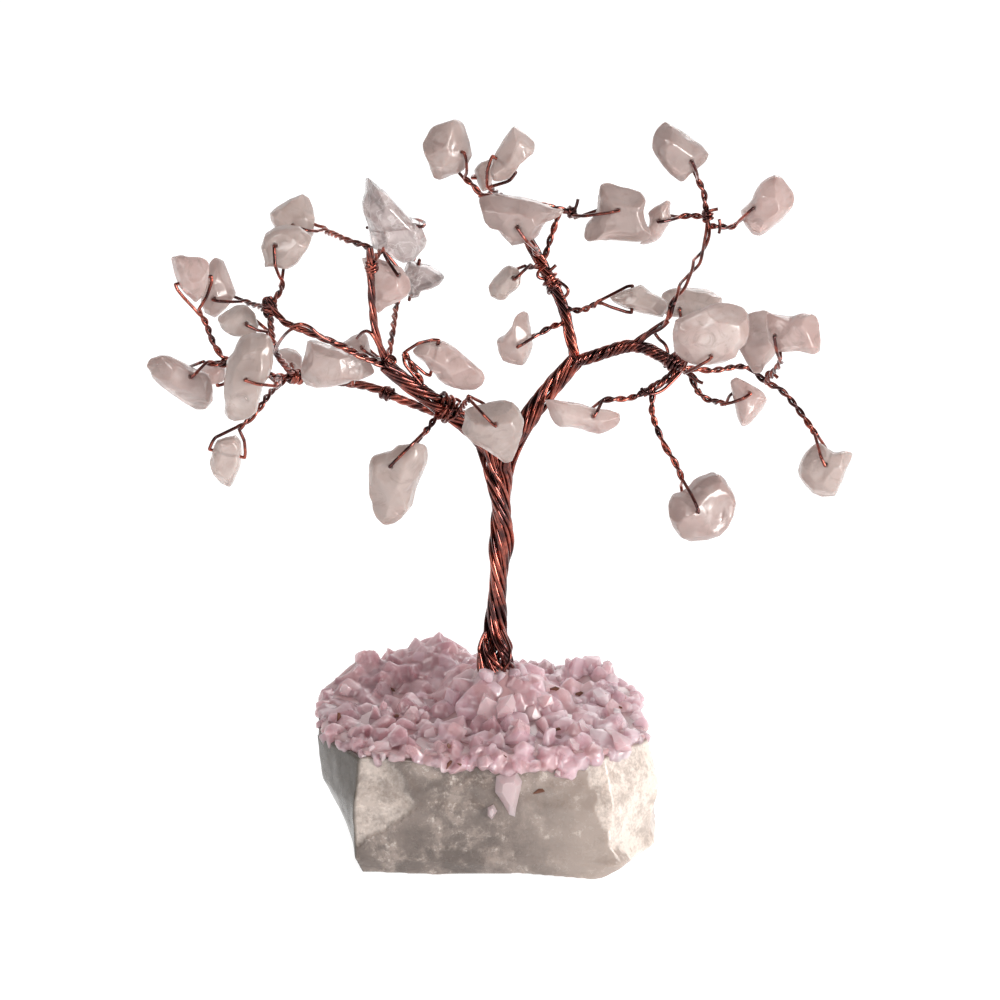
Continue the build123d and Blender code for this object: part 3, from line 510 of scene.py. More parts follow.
def twist(line, count, ring, pitch, seed, phase=0, loose=0.12, flat=1, uneven=0):  # left-handed lay of wires
    along = lengthsAlong(line)
    side, other = lineSides(line)
    turn = phase - 2 * math.pi * along / pitch + uneven * drift(along, seed + 0.4, lay["unevenWave"])
    strands = []
    for number in range(count):
        own = seed + number * 3.7
        angle = 2 * math.pi * number / count + lay["sway"] * drift(along, own, lay["swayWave"])
        reach = ringAt(along, ring) * (1 + loose * drift(along, own + 1.3, lay["looseWave"]))
        broad, narrow = reach * np.cos(angle), reach * ringAt(along, flat) * np.sin(angle)
        across = broad * np.cos(turn) - narrow * np.sin(turn)
        beyond = broad * np.sin(turn) + narrow * np.cos(turn)
        strands.append(line + side * across[:, None] + other * beyond[:, None])
    return strands


def bridge(first, second, pull=1.0, count=14):  # one wire from the end of one line to the start of another
    span = np.linalg.norm(second[0] - first[-1]) * pull
    leave = first[-1] - first[-2]
    leave = leave / np.linalg.norm(leave) * span
    arrive = second[1] - second[0]
    arrive = arrive / np.linalg.norm(arrive) * span
    share = np.linspace(0, 1, count)[1:-1, None]
    middle = ((2 * share ** 3 - 3 * share ** 2 + 1) * first[-1]
              + (share ** 3 - 2 * share ** 2 + share) * leave
              + (3 * share ** 2 - 2 * share ** 3) * second[0]
              + (share ** 3 - share ** 2) * arrive)
    return np.concatenate([first, middle, second])


def grow(parents, strands):  # each strand grows out of the nearest free parent wire
    grown = []
    for strand in strands:
        nearest = min(range(len(parents)), key=lambda n: np.linalg.norm(parents[n][-1] - strand[0]))
        grown.append(bridge(parents.pop(nearest), strand))
    return grown


def wirePiece(name, lines, diameter):
    curve = bpy.data.curves.new(name, "CURVE")
    curve.dimensions = "3D"
    curve.bevel_depth = diameter / 2
    curve.bevel_resolution = 2
    curve.use_fill_caps = True
    for line in lines:
        spline = curve.splines.new("POLY")
        spline.points.add(len(line) - 1)
        spline.points.foreach_set("co", np.column_stack([line, np.ones(len(line))]).ravel())
    holder = bpy.data.objects.new(name, curve)
    mesh = bpy.data.meshes.new_from_object(holder)
    bpy.data.objects.remove(holder)
    bpy.data.curves.remove(curve)
    return addPiece(name, mesh)


# trunk and boughs: a flattened rope of wires that run from the foot into the boughs
trunk = {
    "wireDia": 0.6 * mm, "step": 0.45 * mm, "pitch": 23.5 * mm, "phase": 1.01, "footDepth": 0.5 * mm,
    "flat": [(0, 1), (0.3, 1), (0.42, 0.72), (1, 0.72)],
    "route": [(494.5, 655, 0), (496, 612, 0), (499, 572, 0), (502, 532, 0), (501, 500, 0), (499, 470, 0)],
    "ring": [(0, 2.9 * mm), (0.2, 2.6 * mm), (0.28, 2.35 * mm), (0.32, 1.85 * mm), (0.355, 1.45 * mm),
             (0.45, 1.35 * mm), (0.57, 1.3 * mm), (0.7, 1.5 * mm), (0.8, 1.62 * mm), (0.89, 1.6 * mm),
             (0.97, 1.95 * mm), (1, 2.1 * mm)],
    "layers": [(14, 1.0), (10, [(0, 0.86), (0.28, 0.86), (0.4, 0.58)]),
               (7, [(0, 0.6), (0.28, 0.6), (0.4, 0.24)])],
    "seed": 3, "loose": 0.1,
}
boughs = {
    "startAfter": 5 * mm,
    "left": {"route": [(475, 432, -0.02), (456, 415, -0.05), (425, 396, -0.13), (402, 379, -0.17),
                       (385, 365, -0.2)],
             "layers": [(10, 1.0), (3, 0.42)], "ring": [(0, 1.2 * mm), (0.5, 1.0 * mm), (1, 0.75 * mm)],
             "pitch": 19 * mm, "seed": 11},
    "low": {"route": [(479, 434, 0.03), (457, 420, 0.03), (426, 409, 0.12), (399, 399, 0.24),
                      (376, 388, 0.34), (350, 383, 0.44), (318, 379, 0.47), (290, 376, 0.36)],
            "layers": [(4, 1.0)], "ring": [(0, 0.38 * mm), (1, 0.38 * mm)], "pitch": 7 * mm, "seed": 20},
    "right": {"route": [(516, 436, 0.02), (531, 414, 0.05), (551, 387, 0.1), (575, 361, 0.12)],
              "layers": [(11, 1.0), (3, 0.42)], "ring": [(0, 1.2 * mm), (1, 1.02 * mm)], "pitch": 17 * mm,
              "seed": 29},
}


def shareAt(place, share):  # one share, or a list of places and shares
    return np.interp(place, *zip(*share)) if isinstance(share, list) else share


def layered(line, layers, ring, pitch, seed, phase=0, flat=1):  # layers of wires, each a share of the ring
    strands = []
    for number, (count, share) in enumerate(layers):
        sizes = [(place, size * shareAt(place, share)) for place, size in ring]
        strands += twist(line, count, sizes, pitch, seed + 60 * number, phase, trunk["loose"], flat)
    return strands


def trunkWires():
    start = Vector((0, 0, stoneTop - trunk["footDepth"]))
    axis = evenLine(smoothLine([start] + routed(trunk["route"])), trunk["step"])
    parents = layered(axis, trunk["layers"], trunk["ring"], trunk["pitch"], trunk["seed"], trunk["phase"],
                      trunk["flat"])
    wires = []
    for bough in (boughs["left"], boughs["low"], boughs["right"]):
        line = smoothLine([sighted(*sight["forkPixel"], 0)] + routed(bough["route"]))
        line = evenLine(line, trunk["step"], boughs["startAfter"])
        wires += grow(parents, layered(line, bough["layers"], bough["ring"], bough["pitch"], bough["seed"]))
    return wires + parents


settle(wirePiece("trunk_and_bough_wires", trunkWires(), trunk["wireDia"]), copper, "tree",
       "copper", "trunk_core", "trunk_strands", "left_bough", "right_bough", "left_low_strand")
print("trunk and boughs twisted")

# thinner bundles: route, wires, the ring they lie on, pitch and the angle they start at
thin = {"dia": 0.5 * mm, "step": 0.3 * mm, "coreCount": 3, "coreShare": 0.38, "coreAbove": 4, "seed": 100}
riserRing = [(0, 0.27 * mm), (0.34, 0.25 * mm), (0.44, 0.55 * mm), (0.54, 0.25 * mm), (0.58, 0.25 * mm),
             (0.67, 0.5 * mm), (0.78, 0.25 * mm), (1, 0.25 * mm)]
bundles = {
    "right_limb": [([(572, 363, 0.12), (600, 354, 0.15), (625, 346, 0.14), (641, 346, 0.1), (660, 355, 0.0),
                     (682, 368, -0.11)], 8, 0.72 * mm, 6.5 * mm, 0)],
    "upper_bough": [([(576, 363, 0.12), (570, 338, 0.16), (566, 316, 0.2), (558, 294, 0.24), (545, 270, 0.28),
                      (534, 250, 0.31), (527, 238, 0.34)], 7, 0.62 * mm, 12 * mm, 2)],
    "left_high_strand": [([(386, 366, -0.2), (362, 357, -0.36), (340, 345, -0.46), (318, 336, -0.5),
                           (297, 328, -0.5), (281, 321, -0.46), (271, 304, -0.4), (268, 297, -0.39)],
                          3, 0.3 * mm, 6 * mm, 1)],
    "left_outer_strands": [([(270, 304, -0.39), (271, 330, -0.22), (275, 352, -0.02), (286, 366, 0.2),
                             (293, 375, 0.36)], 3, 0.3 * mm, 5.5 * mm, 3),
                           ([(222, 358, 0.0), (245, 367, 0.06), (266, 376, 0.14), (292, 377, 0.36)],
                            3, 0.29 * mm, 5.5 * mm, 2)],
    "left_risers": [([(387, 364, -0.2), (377, 341, -0.28), (372, 310, -0.3), (371, 280, -0.32),
                      (370, 247, -0.35)], 4, 0.33 * mm, 12 * mm, 1),
                    ([(388, 358, -0.17), (392, 336, 0.08), (395, 312, 0.4), (398, 289, 0.74)],
                     2, 0.26 * mm, 4.6 * mm, 4)],
    "right_riser": [([(633, 345, 0.12), (645, 334, 0.06), (661, 326, -0.06), (670, 317, -0.18),
                      (672, 302, -0.2), (687, 279, 0.02), (698, 260, 0.24), (706, 243, 0.42),
                      (709, 225, 0.54), (706, 207, 0.56)], 2, riserRing, 11 * mm, 0.1)],
    "right_outer_strand": [([(681, 367, -0.1), (706, 371, -0.06), (722, 369, 0.02), (738, 366, 0.11),
                             (750, 367, 0.17), (757, 375, 0.18), (769, 384, 0.12), (782, 390, 0.02),
                             (794, 404, -0.1), (806, 420, -0.2), (811, 428, -0.25)],
                            2, 0.26 * mm, 4.4 * mm, 5)],
    "right_low_strands": [([(680, 368, -0.11), (668, 378, -0.16), (655, 387, -0.21), (643, 393, -0.25)],
                           4, 0.4 * mm, 5 * mm, 2),
                          ([(686, 370, -0.12), (694, 381, -0.15), (697, 391, -0.17)],
                           2, 0.25 * mm, 4 * mm, 3)],
    "top_crossbar": [([(479, 195, 0.43), (500, 199, 0.42), (525, 202, 0.43), (550, 207, 0.42),
                       (576, 213, 0.42)], 3, 0.27 * mm, 4 * mm, 1),
                     ([(543, 262, 0.29), (550, 240, 0.36), (556, 222, 0.4), (560, 209, 0.42)],
                      2, 0.25 * mm, 4 * mm, 2)],
}


def bundleWires():
    seed = thin["seed"]
    for name, ropes in bundles.items():
        lines = []
        for spots, count, ring, pitch, phase in ropes:
            seed += 17
            line = evenLine(smoothLine(routed(spots)), thin["step"])
            lines += twist(line, count, ring, pitch, seed, phase)
            if count > thin["coreAbove"]:  # a thick bundle has wires inside it too
                lines += twist(line, thin["coreCount"], ring * thin["coreShare"], pitch, seed + 5, phase)
        settle(wirePiece(name + "_wires", lines, thin["dia"]), copper, "tree", "copper", name)


bundleWires()
print("bundles twisted")

# short wraps that bind the bundles: two points of the bundle, radius wound on, turns and pitch
wraps = [
    ((399, 399, 0.24), (376, 388, 0.34), 0.82 * mm, 2.4, 0.62 * mm),
    ((556, 290, 0.25), (548, 276, 0.27), 1.02 * mm, 2.6, 0.8 * mm),
    ((372, 274, -0.32), (371, 258, -0.34), 0.74 * mm, 2.4, 0.6 * mm),
    ((668, 358, -0.04), (682, 368, -0.11), 1.1 * mm, 3.5, 0.6 * mm),
    ((302, 377, 0.42), (288, 376, 0.35), 0.82 * mm, 3.5, 0.56 * mm),
    ((270, 316, -0.33), (269, 298, -0.39), 0.78 * mm, 3.5, 0.62 * mm),
    ((457, 414, -0.05), (434, 402, -0.1), 1.62 * mm, 3.2, 0.8 * mm),
    ((570, 212, 0.42), (575, 213, 0.42), 0.62 * mm, 2.5, 0.5 * mm),
    ((708, 222, 0.54), (707, 210, 0.56), 0.6 * mm, 2.5, 0.52 * mm),
]
winding = {"lays": (1, -0.7), "over": 0.1, "fineStep": 0.02 * mm, "step": 0.1 * mm, "endStep": 0.2 * mm,
           "seed": 300, "phase": 2.1, "loose": 0.06, "sway": 0.4, "swayWave": 1.6 * mm}
# loose wire ends and slack loops, each on the bundle that it comes out of
looseEnds = [
    [(652, 328, 0.02), (657, 338, 0.02), (667, 345, 0.0), (668, 353, -0.03)],
    [(546, 266, 0.24), (538, 270, 0.22), (537, 279, 0.22), (547, 279, 0.24)],
    [(558, 281, 0.22), (567, 286, 0.2), (569, 294, 0.2), (563, 298, 0.2)],
    [(548, 272, 0.26), (553, 268, 0.24), (556, 265, 0.24)],
    [(571, 213, 0.4), (576, 211, 0.38), (578, 199, 0.38)],
    [(706, 212, 0.54), (712, 210, 0.52), (718, 209, 0.52)],
    [(719, 219, 0.55), (721, 225, 0.54), (719, 233, 0.56)],
    [(689, 372, -0.14), (694, 375, -0.18), (698, 382, -0.18), (703, 383, -0.18)],
    [(275, 352, -0.04), (277, 345, -0.2), (285, 334, -0.42), (294, 327, -0.52), (300, 329, -0.52)],
    [(290, 327, -0.5), (298, 323, -0.54), (310, 326, -0.55), (319, 336, -0.53), (330, 341, -0.5)],
    [(376, 341, -0.28), (371, 331, -0.3), (362, 331, -0.28), (357, 338, -0.2)],
    [(404, 354, -0.14), (403, 361, -0.16), (408, 369, -0.16), (421, 384, -0.15)],
    [(640, 343, 0.08), (650, 333, 0.0), (662, 329, -0.09), (668, 322, -0.16)],
    [(683, 370, -0.16), (673, 381, -0.2), (660, 393, -0.24), (645, 395, -0.28), (641, 388, -0.26)],
    [(768, 383, 0.08), (765, 375, 0.1), (770, 370, 0.08), (778, 378, 0.06)],
    [(485, 632, -0.08), (478, 646, -0.12), (480, 656, -0.15), (483, 670, -0.17)],
    [(502, 630, -0.08), (509, 645, -0.12), (511, 656, -0.15), (508, 664, -0.17), (504, 670, -0.17)],
]
curl = {"place": (391, 361, -0.27), "turns": 1.7, "radii": (0.25 * mm, 0.85 * mm), "points": 40, "cone": 0.4}


def wrapLines():
    lines = []
    for number, (first, second, radius, turns, pitch) in enumerate(wraps):
        low, high = sighted(*first), sighted(*second)
        along = (high - low).normalized()
        middle = (low + high) / 2
        reach = along * (turns * pitch / 2)
        line = evenLine(np.array([middle - reach, middle + reach]), winding["fineStep"])
        seed = winding["seed"] + number
        for way in winding["lays"]:  # wound on one way, then back over itself
            ring = radius * (1.1 - winding["over"] * way)
            wound = twist(line, 1, ring, pitch / way, seed, number * winding["phase"], winding["loose"])[0]
            wound = evenLine(wound, winding["step"])
            sway = winding["sway"] * pitch * drift(lengthsAlong(wound), seed, winding["swayWave"])
            lines.append(wound + np.outer(sway, along))
    lines += [smoothLine(routed(spots)) for spots in looseEnds]
    return [evenLine(line, winding["endStep"]) for line in lines] + [curledEnd()]


def curledEnd():  # the end of one wire, rolled up flat
    middle = sighted(*curl["place"])
    spots = []
    for share in np.linspace(0, 1, curl["points"]):
        angle = 2 * math.pi * curl["turns"] * share
        radius = curl["radii"][0] + (curl["radii"][1] - curl["radii"][0]) * share
        spots.append(middle + lookRight * (radius * math.cos(angle)) + lookUp * (radius * math.sin(angle))
                     + lookAlong * (radius * curl["cone"]))
    return np.array(spots)


settle(wirePiece("binding_wraps_wires", wrapLines(), thin["dia"]), copper, "tree", "copper", "binding_wraps")
print("wraps wound")

# chips: how far each is smoothed, planed, dented and nicked, and the hole that stays open
gems = {
    "voxel": 0.2 * mm, "smooth": 4, "facets": 10, "facetDepth": (0.76, 0.95), "facetTilt": 0.7, "planed": 0.9,
    "dent": 0.2 * mm, "dentWave": 3.0 * mm, "nick": 0.25 * mm, "nickWave": 1.7 * mm, "ripple": 0.03 * mm,
    "rippleWave": 1.0 * mm, "ease": 2, "holeDia": 0.61 * mm, "crystals": ["left_gem_13", "left_gem_15"],
    "seed": 40, "crystalSmooth": 1, "crystalWear": 0.3, "dentTop": 0.1, "nickBelow": -0.25,
    "widened": {"right_gem_04": 1.35, "right_gem_03": 1.1},
    "smoky": {"top_gem_04": 1, "top_gem_05": 0.8, "top_gem_07": 1, "right_gem_07": 0.6, "centre_gem_01": 0.4,
              "left_gem_12": 0.4, "left_gem_06": 0.4},
    "bites": {"top_gem_04": [((557, 199), 10), ((553, 233), 10)]},  # round notches, seen at a pixel
}
gemNames = sorted(name for name in frame["nodes"] if "_gem_" in name)


def widen(points, joint, share):
    points[:, 0] = joint["pos_m"][0] + (points[:, 0] - joint["pos_m"][0]) * share


def bite(points, pixel, radius):  # pushes the points seen inside a circle out to its edge
    towards = points - np.array(eye)
    depth = towards @ np.array(lookAlong)
    scale = sight["span"] / sight["pixels"] / sight["distance"] * depth
    half = sight["pixels"] / 2
    across = (towards @ np.array(lookRight)) / scale + half - pixel[0]
    down = half - (towards @ np.array(lookUp)) / scale - pixel[1]
    away = np.maximum(np.hypot(across, down), 0.1)
    push = np.maximum(radius / away - 1, 0) * scale
    points += np.outer(across * push, np.array(lookRight)) - np.outer(down * push, np.array(lookUp))


def wearChip(mesh, chance, crystal):
    points, normals = readPoints(mesh), readNormals(mesh)
    middle = points.mean(axis=0)
    for facet in range(0 if crystal else gems["facets"]):
        front = -1 if facet % 2 else 1
        facing = Vector((chance.gauss(0, gems["facetTilt"]), front, chance.gauss(0, gems["facetTilt"])))
        facing = np.array(facing.normalized())
        heights = (points - middle) @ facing
        over = np.maximum(heights - heights.max() * chance.uniform(*gems["facetDepth"]), 0)
        points = points - over[:, None] * facing * gems["planed"]
    shift = Vector(triple(chance.uniform, 0, 90))
    share = gems["crystalWear"] if crystal else 1
    dents = np.minimum(noiseAt(points, gems["dentWave"], shift), gems["dentTop"]) * gems["dent"] * 2 * share
    nicks = np.minimum(noiseAt(points, gems["nickWave"], shift * 2) - gems["nickBelow"], 0) * gems["nick"]
    ripples = noiseAt(points, gems["rippleWave"], shift) * gems["ripple"] * share
    writePoints(mesh, points + normals * (dents + nicks + ripples)[:, None])


def openHole(mesh, joint):  # the hole's wall goes back out to its radius
    points = readPoints(mesh)
    axis = np.array(Vector(joint["axis"]).normalized())
    offset = points - np.array(joint["pos_m"])
    out = offset - np.outer(offset @ axis, axis)
    away = np.maximum(np.linalg.norm(out, axis=1), 0.001 * mm)
    push = np.maximum(gems["holeDia"] / 2 / away - 1, 0)
    writePoints(mesh, points + out * push[:, None])


def shapeChip(name, mesh):  # what sets a few chips apart
    points = readPoints(mesh)
    if name in gems["widened"]:
        widen(points, hinges[name + "_body"], gems["widened"][name])
    for pixel, radius in gems["bites"].get(name, []):
        bite(points, pixel, radius)
    writePoints(mesh, points)


def gemPieces():
    chips = {}
    for name in gemNames:
        smooth = gems["crystalSmooth" if name in gems["crystals"] else "smooth"]
        chips[name] = remeshed(name + "_chip", frame["nodes"][name].data.copy(), gems["voxel"], smooth)
    for number, (name, chip) in enumerate(chips.items()):
        bakeModifiers(chip)
        shapeChip(name, chip.data)
        wearChip(chip.data, random.Random(gems["seed"] + number), name in gems["crystals"])
        if name not in gems["crystals"]:
            addEase(chip, gems["ease"])
    for name, chip in chips.items():
        bakeModifiers(chip)
        openHole(chip.data, hinges[name + "_body"])
        addShare(chip.data, "smoky", np.full(len(chip.data.vertices), gems["smoky"].get(name, 0)))
        finish = veinedCrystal if name in gems["crystals"] else roseQuartz
        settle(chip, finish, name + "_body", "rose_quartz", name)
    return chips


chips = gemPieces()
print("chips worn and drilled")

# twigs: the pixel each loop pulls towards, how much it pulls to the rear, and the stem's route
loops = {"gap": 0.2 * mm, "margin": 9, "nearHole": 0.5 * mm, "crotch": 0.7 * mm, "corner": 0.4 * mm,
         "cornerShare": 0.4, "inHole": 0.6 * mm, "inMouth": 0.1 * mm, "pitch": (3.2 * mm, 4.4 * mm),
         "pitchSeed": 5, "ring": 0.25 * mm, "sway": 0.18 * mm, "swayWave": 4 * mm, "seed": 500, "loose": 0.1,
         "step": 0.15 * mm, "uneven": 1.0}
twigs = {
    "left_gem_01": ((323, 232), 0, [(337, 237, -0.02), (352, 241, -0.18), (369, 248, -0.34)]),
    "left_gem_02": ((282, 270), 0, [(282, 283, -0.18), (279, 293, -0.3), (271, 302, -0.39)]),
    "left_gem_03": ((196, 304), 0, [(204, 318, -0.12), (211, 336, -0.06), (217, 349, -0.02),
                                    (222, 357, 0.0)]),
    "left_gem_04": ((246, 303), 0, [(257, 306, 0.1), (264, 309, -0.1), (270, 316, -0.31)]),
    "left_gem_05": ((262, 329), 0, [(273, 344, -0.1)]),
    "left_gem_06": ((202, 363), 0, [(214, 364, -0.05), (236, 364, 0.03)]),
    "left_gem_07": ((236, 371), 0, [(250, 369, 0.08)]),
    "left_gem_08": ((273, 381), 0, [(280, 385, -0.2), (277, 377, 0.23)]),
    "left_gem_09": ((236, 432), 0, [(247, 422, -0.2), (259, 409, -0.15), (268, 397, -0.05), (277, 386, 0.18),
                                    (286, 378, 0.33)]),
    "left_gem_10": ((298, 380), 0, [(306, 377, 0.45)]),
    "left_gem_11": ((352, 367), 1, [(345, 383, 0.45)]),
    "left_gem_12": ((374, 356), 0, [(382, 364, -0.18)]),
    "left_gem_13": ((426, 222), 0.6, [(418, 246, 0.8), (408, 268, 0.88), (398, 290, 0.73)]),
    "left_gem_14": ((388, 258), 0, [(371, 262, -0.33)]),
    "left_gem_15": ((415, 278), 1, [(396, 304, 0.52)]),
    "left_gem_16": ((417, 357), 0, [(406, 354, -0.12), (413, 370, -0.13), (431, 398, -0.12)]),
    "left_gem_17": ((421, 437), 0, [(434, 420, -0.18), (442, 407, -0.09)]),
    "centre_gem_01": ((474, 402), 0, [(469, 402, -0.3), (456, 413, -0.05)]),
    "centre_gem_02": ((602, 400), 0, [(615, 399, -0.37), (630, 399, -0.3), (649, 390, -0.23)]),
    "centre_gem_03": ((543, 331), 0, [(553, 324, 0.16), (567, 322, 0.19)]),
    "centre_gem_04": ((526, 267), 0, [(542, 265, 0.29)]),
    "top_gem_01": ((470, 176), 0, [(477, 187, 0.42), (481, 195, 0.43)]),
    "top_gem_02": ((495, 182), 0, [(508, 200, 0.42)]),
    "top_gem_03": ((485, 178), 1, [(492, 204, 0.74), (492, 198, 0.43)]),
    "top_gem_04": ((530, 242), 0, [(538, 256, 0.3)]),
    "top_gem_05": ((585, 215), 0, [(570, 212, 0.42)]),
    "top_gem_06": ((678, 217), 0, [(691, 215, 0.58), (707, 217, 0.55)]),
    "top_gem_07": ((699, 180), 0, [(706, 196, 0.52), (706, 208, 0.56)]),
    "top_gem_08": ((738, 222), 0, [(726, 227, 0.6), (709, 226, 0.54)]),
    "right_gem_01": ((604, 304), 0, [(590, 306, 0.1), (580, 310, 0.15), (564, 308, 0.21)]),
    "right_gem_02": ((683, 325), 0, [(681, 343, 0.25), (671, 361, -0.05)]),
    "right_gem_03": ((688, 368), 0, [(678, 366, -0.09)]),
    "right_gem_04": ((759, 342), 1, [(752, 369, 0.17)]),
    "right_gem_05": ((780, 358), 0, [(775, 371, -0.1), (766, 382, 0.13)]),
    "right_gem_06": ((729, 400), 0, [(716, 402, -0.22), (704, 399, -0.18), (697, 390, -0.17)]),
    "right_gem_07": ((683, 476), 0, [(674, 461, -0.46), (662, 442, -0.4), (655, 422, -0.34), (650, 408, -0.3),
                                     (654, 388, -0.21)]),
    "right_gem_08": ((816, 438), 0, [(809, 425, -0.23)]),
}


def loopWay(name):  # the chip's hole, its axis and the way that the loop leaves
    pull, rear = twigs[name][:2]
    joint = hinges[name + "_body"]
    hole = Vector(joint["pos_m"])
    axis = Vector(joint["axis"]).normalized()
    aside = sighted(*pull, hole.y / sight["crownDepth"]) - hole
    aside = aside.normalized() * (1 - rear) if aside.length > thin["dia"] else Vector()
    aside = aside + Vector((0, 1, 0)) * rear
    return hole, axis, (aside - axis * aside.dot(axis)).normalized()


# distance from the axis and rise along it, over the chip's swing
def sweptOutline(name, hole, axis, leaving):
    points = readPoints(chips[name].data) - np.array(hole)
    rise = points @ np.array(axis)
    out = points - np.outer(rise, np.array(axis))
    away = np.linalg.norm(out, axis=1)
    sector = math.cos(math.radians(hinges[name + "_body"]["range_deg"][1] + loops["margin"]))
    near = (away < loops["nearHole"]) | (out @ np.array(leaving) > away * sector)
    return away[near], rise[near]


def tautLine(away, rise, end):  # the wire pulled tight over the chip, from the hole's mouth to the crotch
    room = loops["gap"] + thin["dia"] / 2
    mouth = rise[away < loops["nearHole"]].max() + room
    spots = [(0, mouth)]
    for angle in (0, math.pi / 4, math.pi / 2):
        spots += list(zip(away + room * math.cos(angle), rise + room * math.sin(angle)))
    chain = [(0, mouth)]
    for spot in sorted(spot for spot in spots if loops["nearHole"] < spot[0] < end[0]) + [end]:
        while len(chain) > 1 and turnsUp(chain[-2], chain[-1], spot):
            chain.pop()
        chain.append(spot)
    return chain


def turnsUp(first, second, third):
    return ((second[0] - first[0]) * (third[1] - first[1])
            >= (second[1] - first[1]) * (third[0] - first[0]))


def tightCorners(chain):  # points close to each corner, so that a smooth line keeps near it
    spots = [np.array(chain[0])]
    for before, here, after in zip(chain, chain[1:], chain[2:]):
        before, here, after = np.array(before), np.array(here), np.array(after)
        back, on = before - here, after - here
        spots.append(here + back * min(loops["cornerShare"], loops["corner"] / np.linalg.norm(back)))
        spots.append(here)
        spots.append(here + on * min(loops["cornerShare"], loops["corner"] / np.linalg.norm(on)))
    return spots


def loopLegs(name):  # both legs of the loop from the hole outwards, and the crotch
    hole, axis, leaving = loopWay(name)
    away, rise = sweptOutline(name, hole, axis, leaving)
    reach = away.max() + loops["gap"] + thin["dia"] / 2 + loops["crotch"]
    middle = rise[away.argmax()]
    legs = []
    for side in (1, -1):
        chain = tautLine(away, rise * side, (reach, middle * side + loops["ring"]))
        mouth = chain[0][1]
        spots = [np.array((0, mouth - depth)) for depth in (loops["inHole"], loops["inMouth"])]
        spots += tightCorners(chain)
        legs.append([hole + leaving * spot[0] + axis * (side * spot[1]) for spot in spots])
    return legs, axis, hole + leaving * reach + axis * middle


def twigLine(name, seed, chance):
    legs, axis, crotch = loopLegs(name)
    stem = evenLine(smoothLine([crotch] + routed(twigs[name][2])), loops["step"])
    along = lengthsAlong(stem)
    side, other = lineSides(stem)
    sway = loops["sway"] * np.minimum(1, np.minimum(along, along[-1] - along) / mm)
    stem = stem + side * (sway * drift(along, seed, loops["swayWave"]))[:, None]
    stem = stem + other * (sway * drift(along, seed + 5, loops["swayWave"]))[:, None]
    toAxis = np.array(axis)
    phase = math.atan2(toAxis @ other[0], toAxis @ side[0])
    uneven = loops["uneven"]
    phase -= uneven * drift(along[:1], seed + 0.4, lay["unevenWave"])[0]
    pitch = chance.uniform(*loops["pitch"])
    pair = twist(stem, 2, loops["ring"], pitch, seed, phase, loops["loose"], 1, uneven)
    loop = smoothLine([pair[0][0]] + legs[0][::-1] + legs[1] + [pair[1][0]], 6)
    return np.concatenate([pair[0][::-1], loop[1:-1], pair[1]])


def twigPieces():
    chance = random.Random(loops["pitchSeed"])
    for group in ("left", "centre", "top", "right"):
        lines = []
        for number, name in enumerate(gemNames):
            if name.startswith(group):
                lines.append(twigLine(name, loops["seed"] + 11 * number, chance))
        piece = wirePiece(group + "_twig_wires", lines, thin["dia"])
        settle(piece, copper, "tree", "copper", group + "_twigs")


twigPieces()
print("twigs twisted and looped")

# raw quartz block: two frosted planes on its front, a smooth left face darkened with painted shade
block = {
    "voxel": 0.32 * mm, "smooth": 3, "swell": 0.35 * mm, "swellWave": 9 * mm, "chip": 0.12 * mm,
    "chipWave": 2.2 * mm, "grain": 0.05 * mm, "grainWave": 0.8 * mm, "plainGrain": 0.4, "ledge": 0.35 * mm,
    "rightLedge": 0.6, "ragged": 1.3 * mm, "raggedWave": 2.4 * mm, "fray": 0.5 * mm, "frayWave": 0.9 * mm,
    "border": 0.35 * mm, "flatBelow": 0.3 * mm, "fullAbove": 3 * mm, "leftFrost": 0.48,
    "frontFacing": (0.6, 0.85), "rightFacing": (0.3, 0.6), "shadeFacing": (0.4, 0.7),
    "leftTip": (-11.5 * mm, 11 * mm), "leftSlopes": (0.58, 1.3), "rightFoot": 18.6 * mm, "rightSlope": 0.38,
    "bulge": 1.8 * mm, "bulgeHeight": 2.2 * mm, "bulgeReach": 2.4 * mm, "bulgeFacing": (0.1, 0.6),
    "bulgeFrom": (6 * mm, 12 * mm), "glow": (0 * mm, 15 * mm),
}


def frostedPlanes(points, normals):
    ragged = noiseAt(points, block["raggedWave"]) * block["ragged"]
    ragged = ragged + noiseAt(points, block["frayWave"]) * block["fray"]
    x, z = points[:, 0], points[:, 2]
    tipX, tipZ = block["leftTip"]
    above, below = block["leftSlopes"]
    inLeft = np.minimum(tipX - x - above * (z - tipZ), tipX - x + below * (z - tipZ))
    inRight = x - block["rightFoot"] + block["rightSlope"] * z
    front = eased(-normals[:, 1], *block["frontFacing"])
    left = eased(inLeft + ragged, 0, block["border"]) * front
    corner = eased(-normals[:, 1] + normals[:, 0], *block["rightFacing"])
    return left, eased(inRight + ragged, 0, block["border"]) * corner


def roundedCorner(points, normals):  # the right side swells out just above the floor
    side = eased(normals[:, 0], *block["bulgeFacing"]) * eased(points[:, 0], *block["bulgeFrom"])
    height = (points[:, 2] - block["bulgeHeight"]) / block["bulgeReach"]
    return block["bulge"] * side * np.exp(-height ** 2)


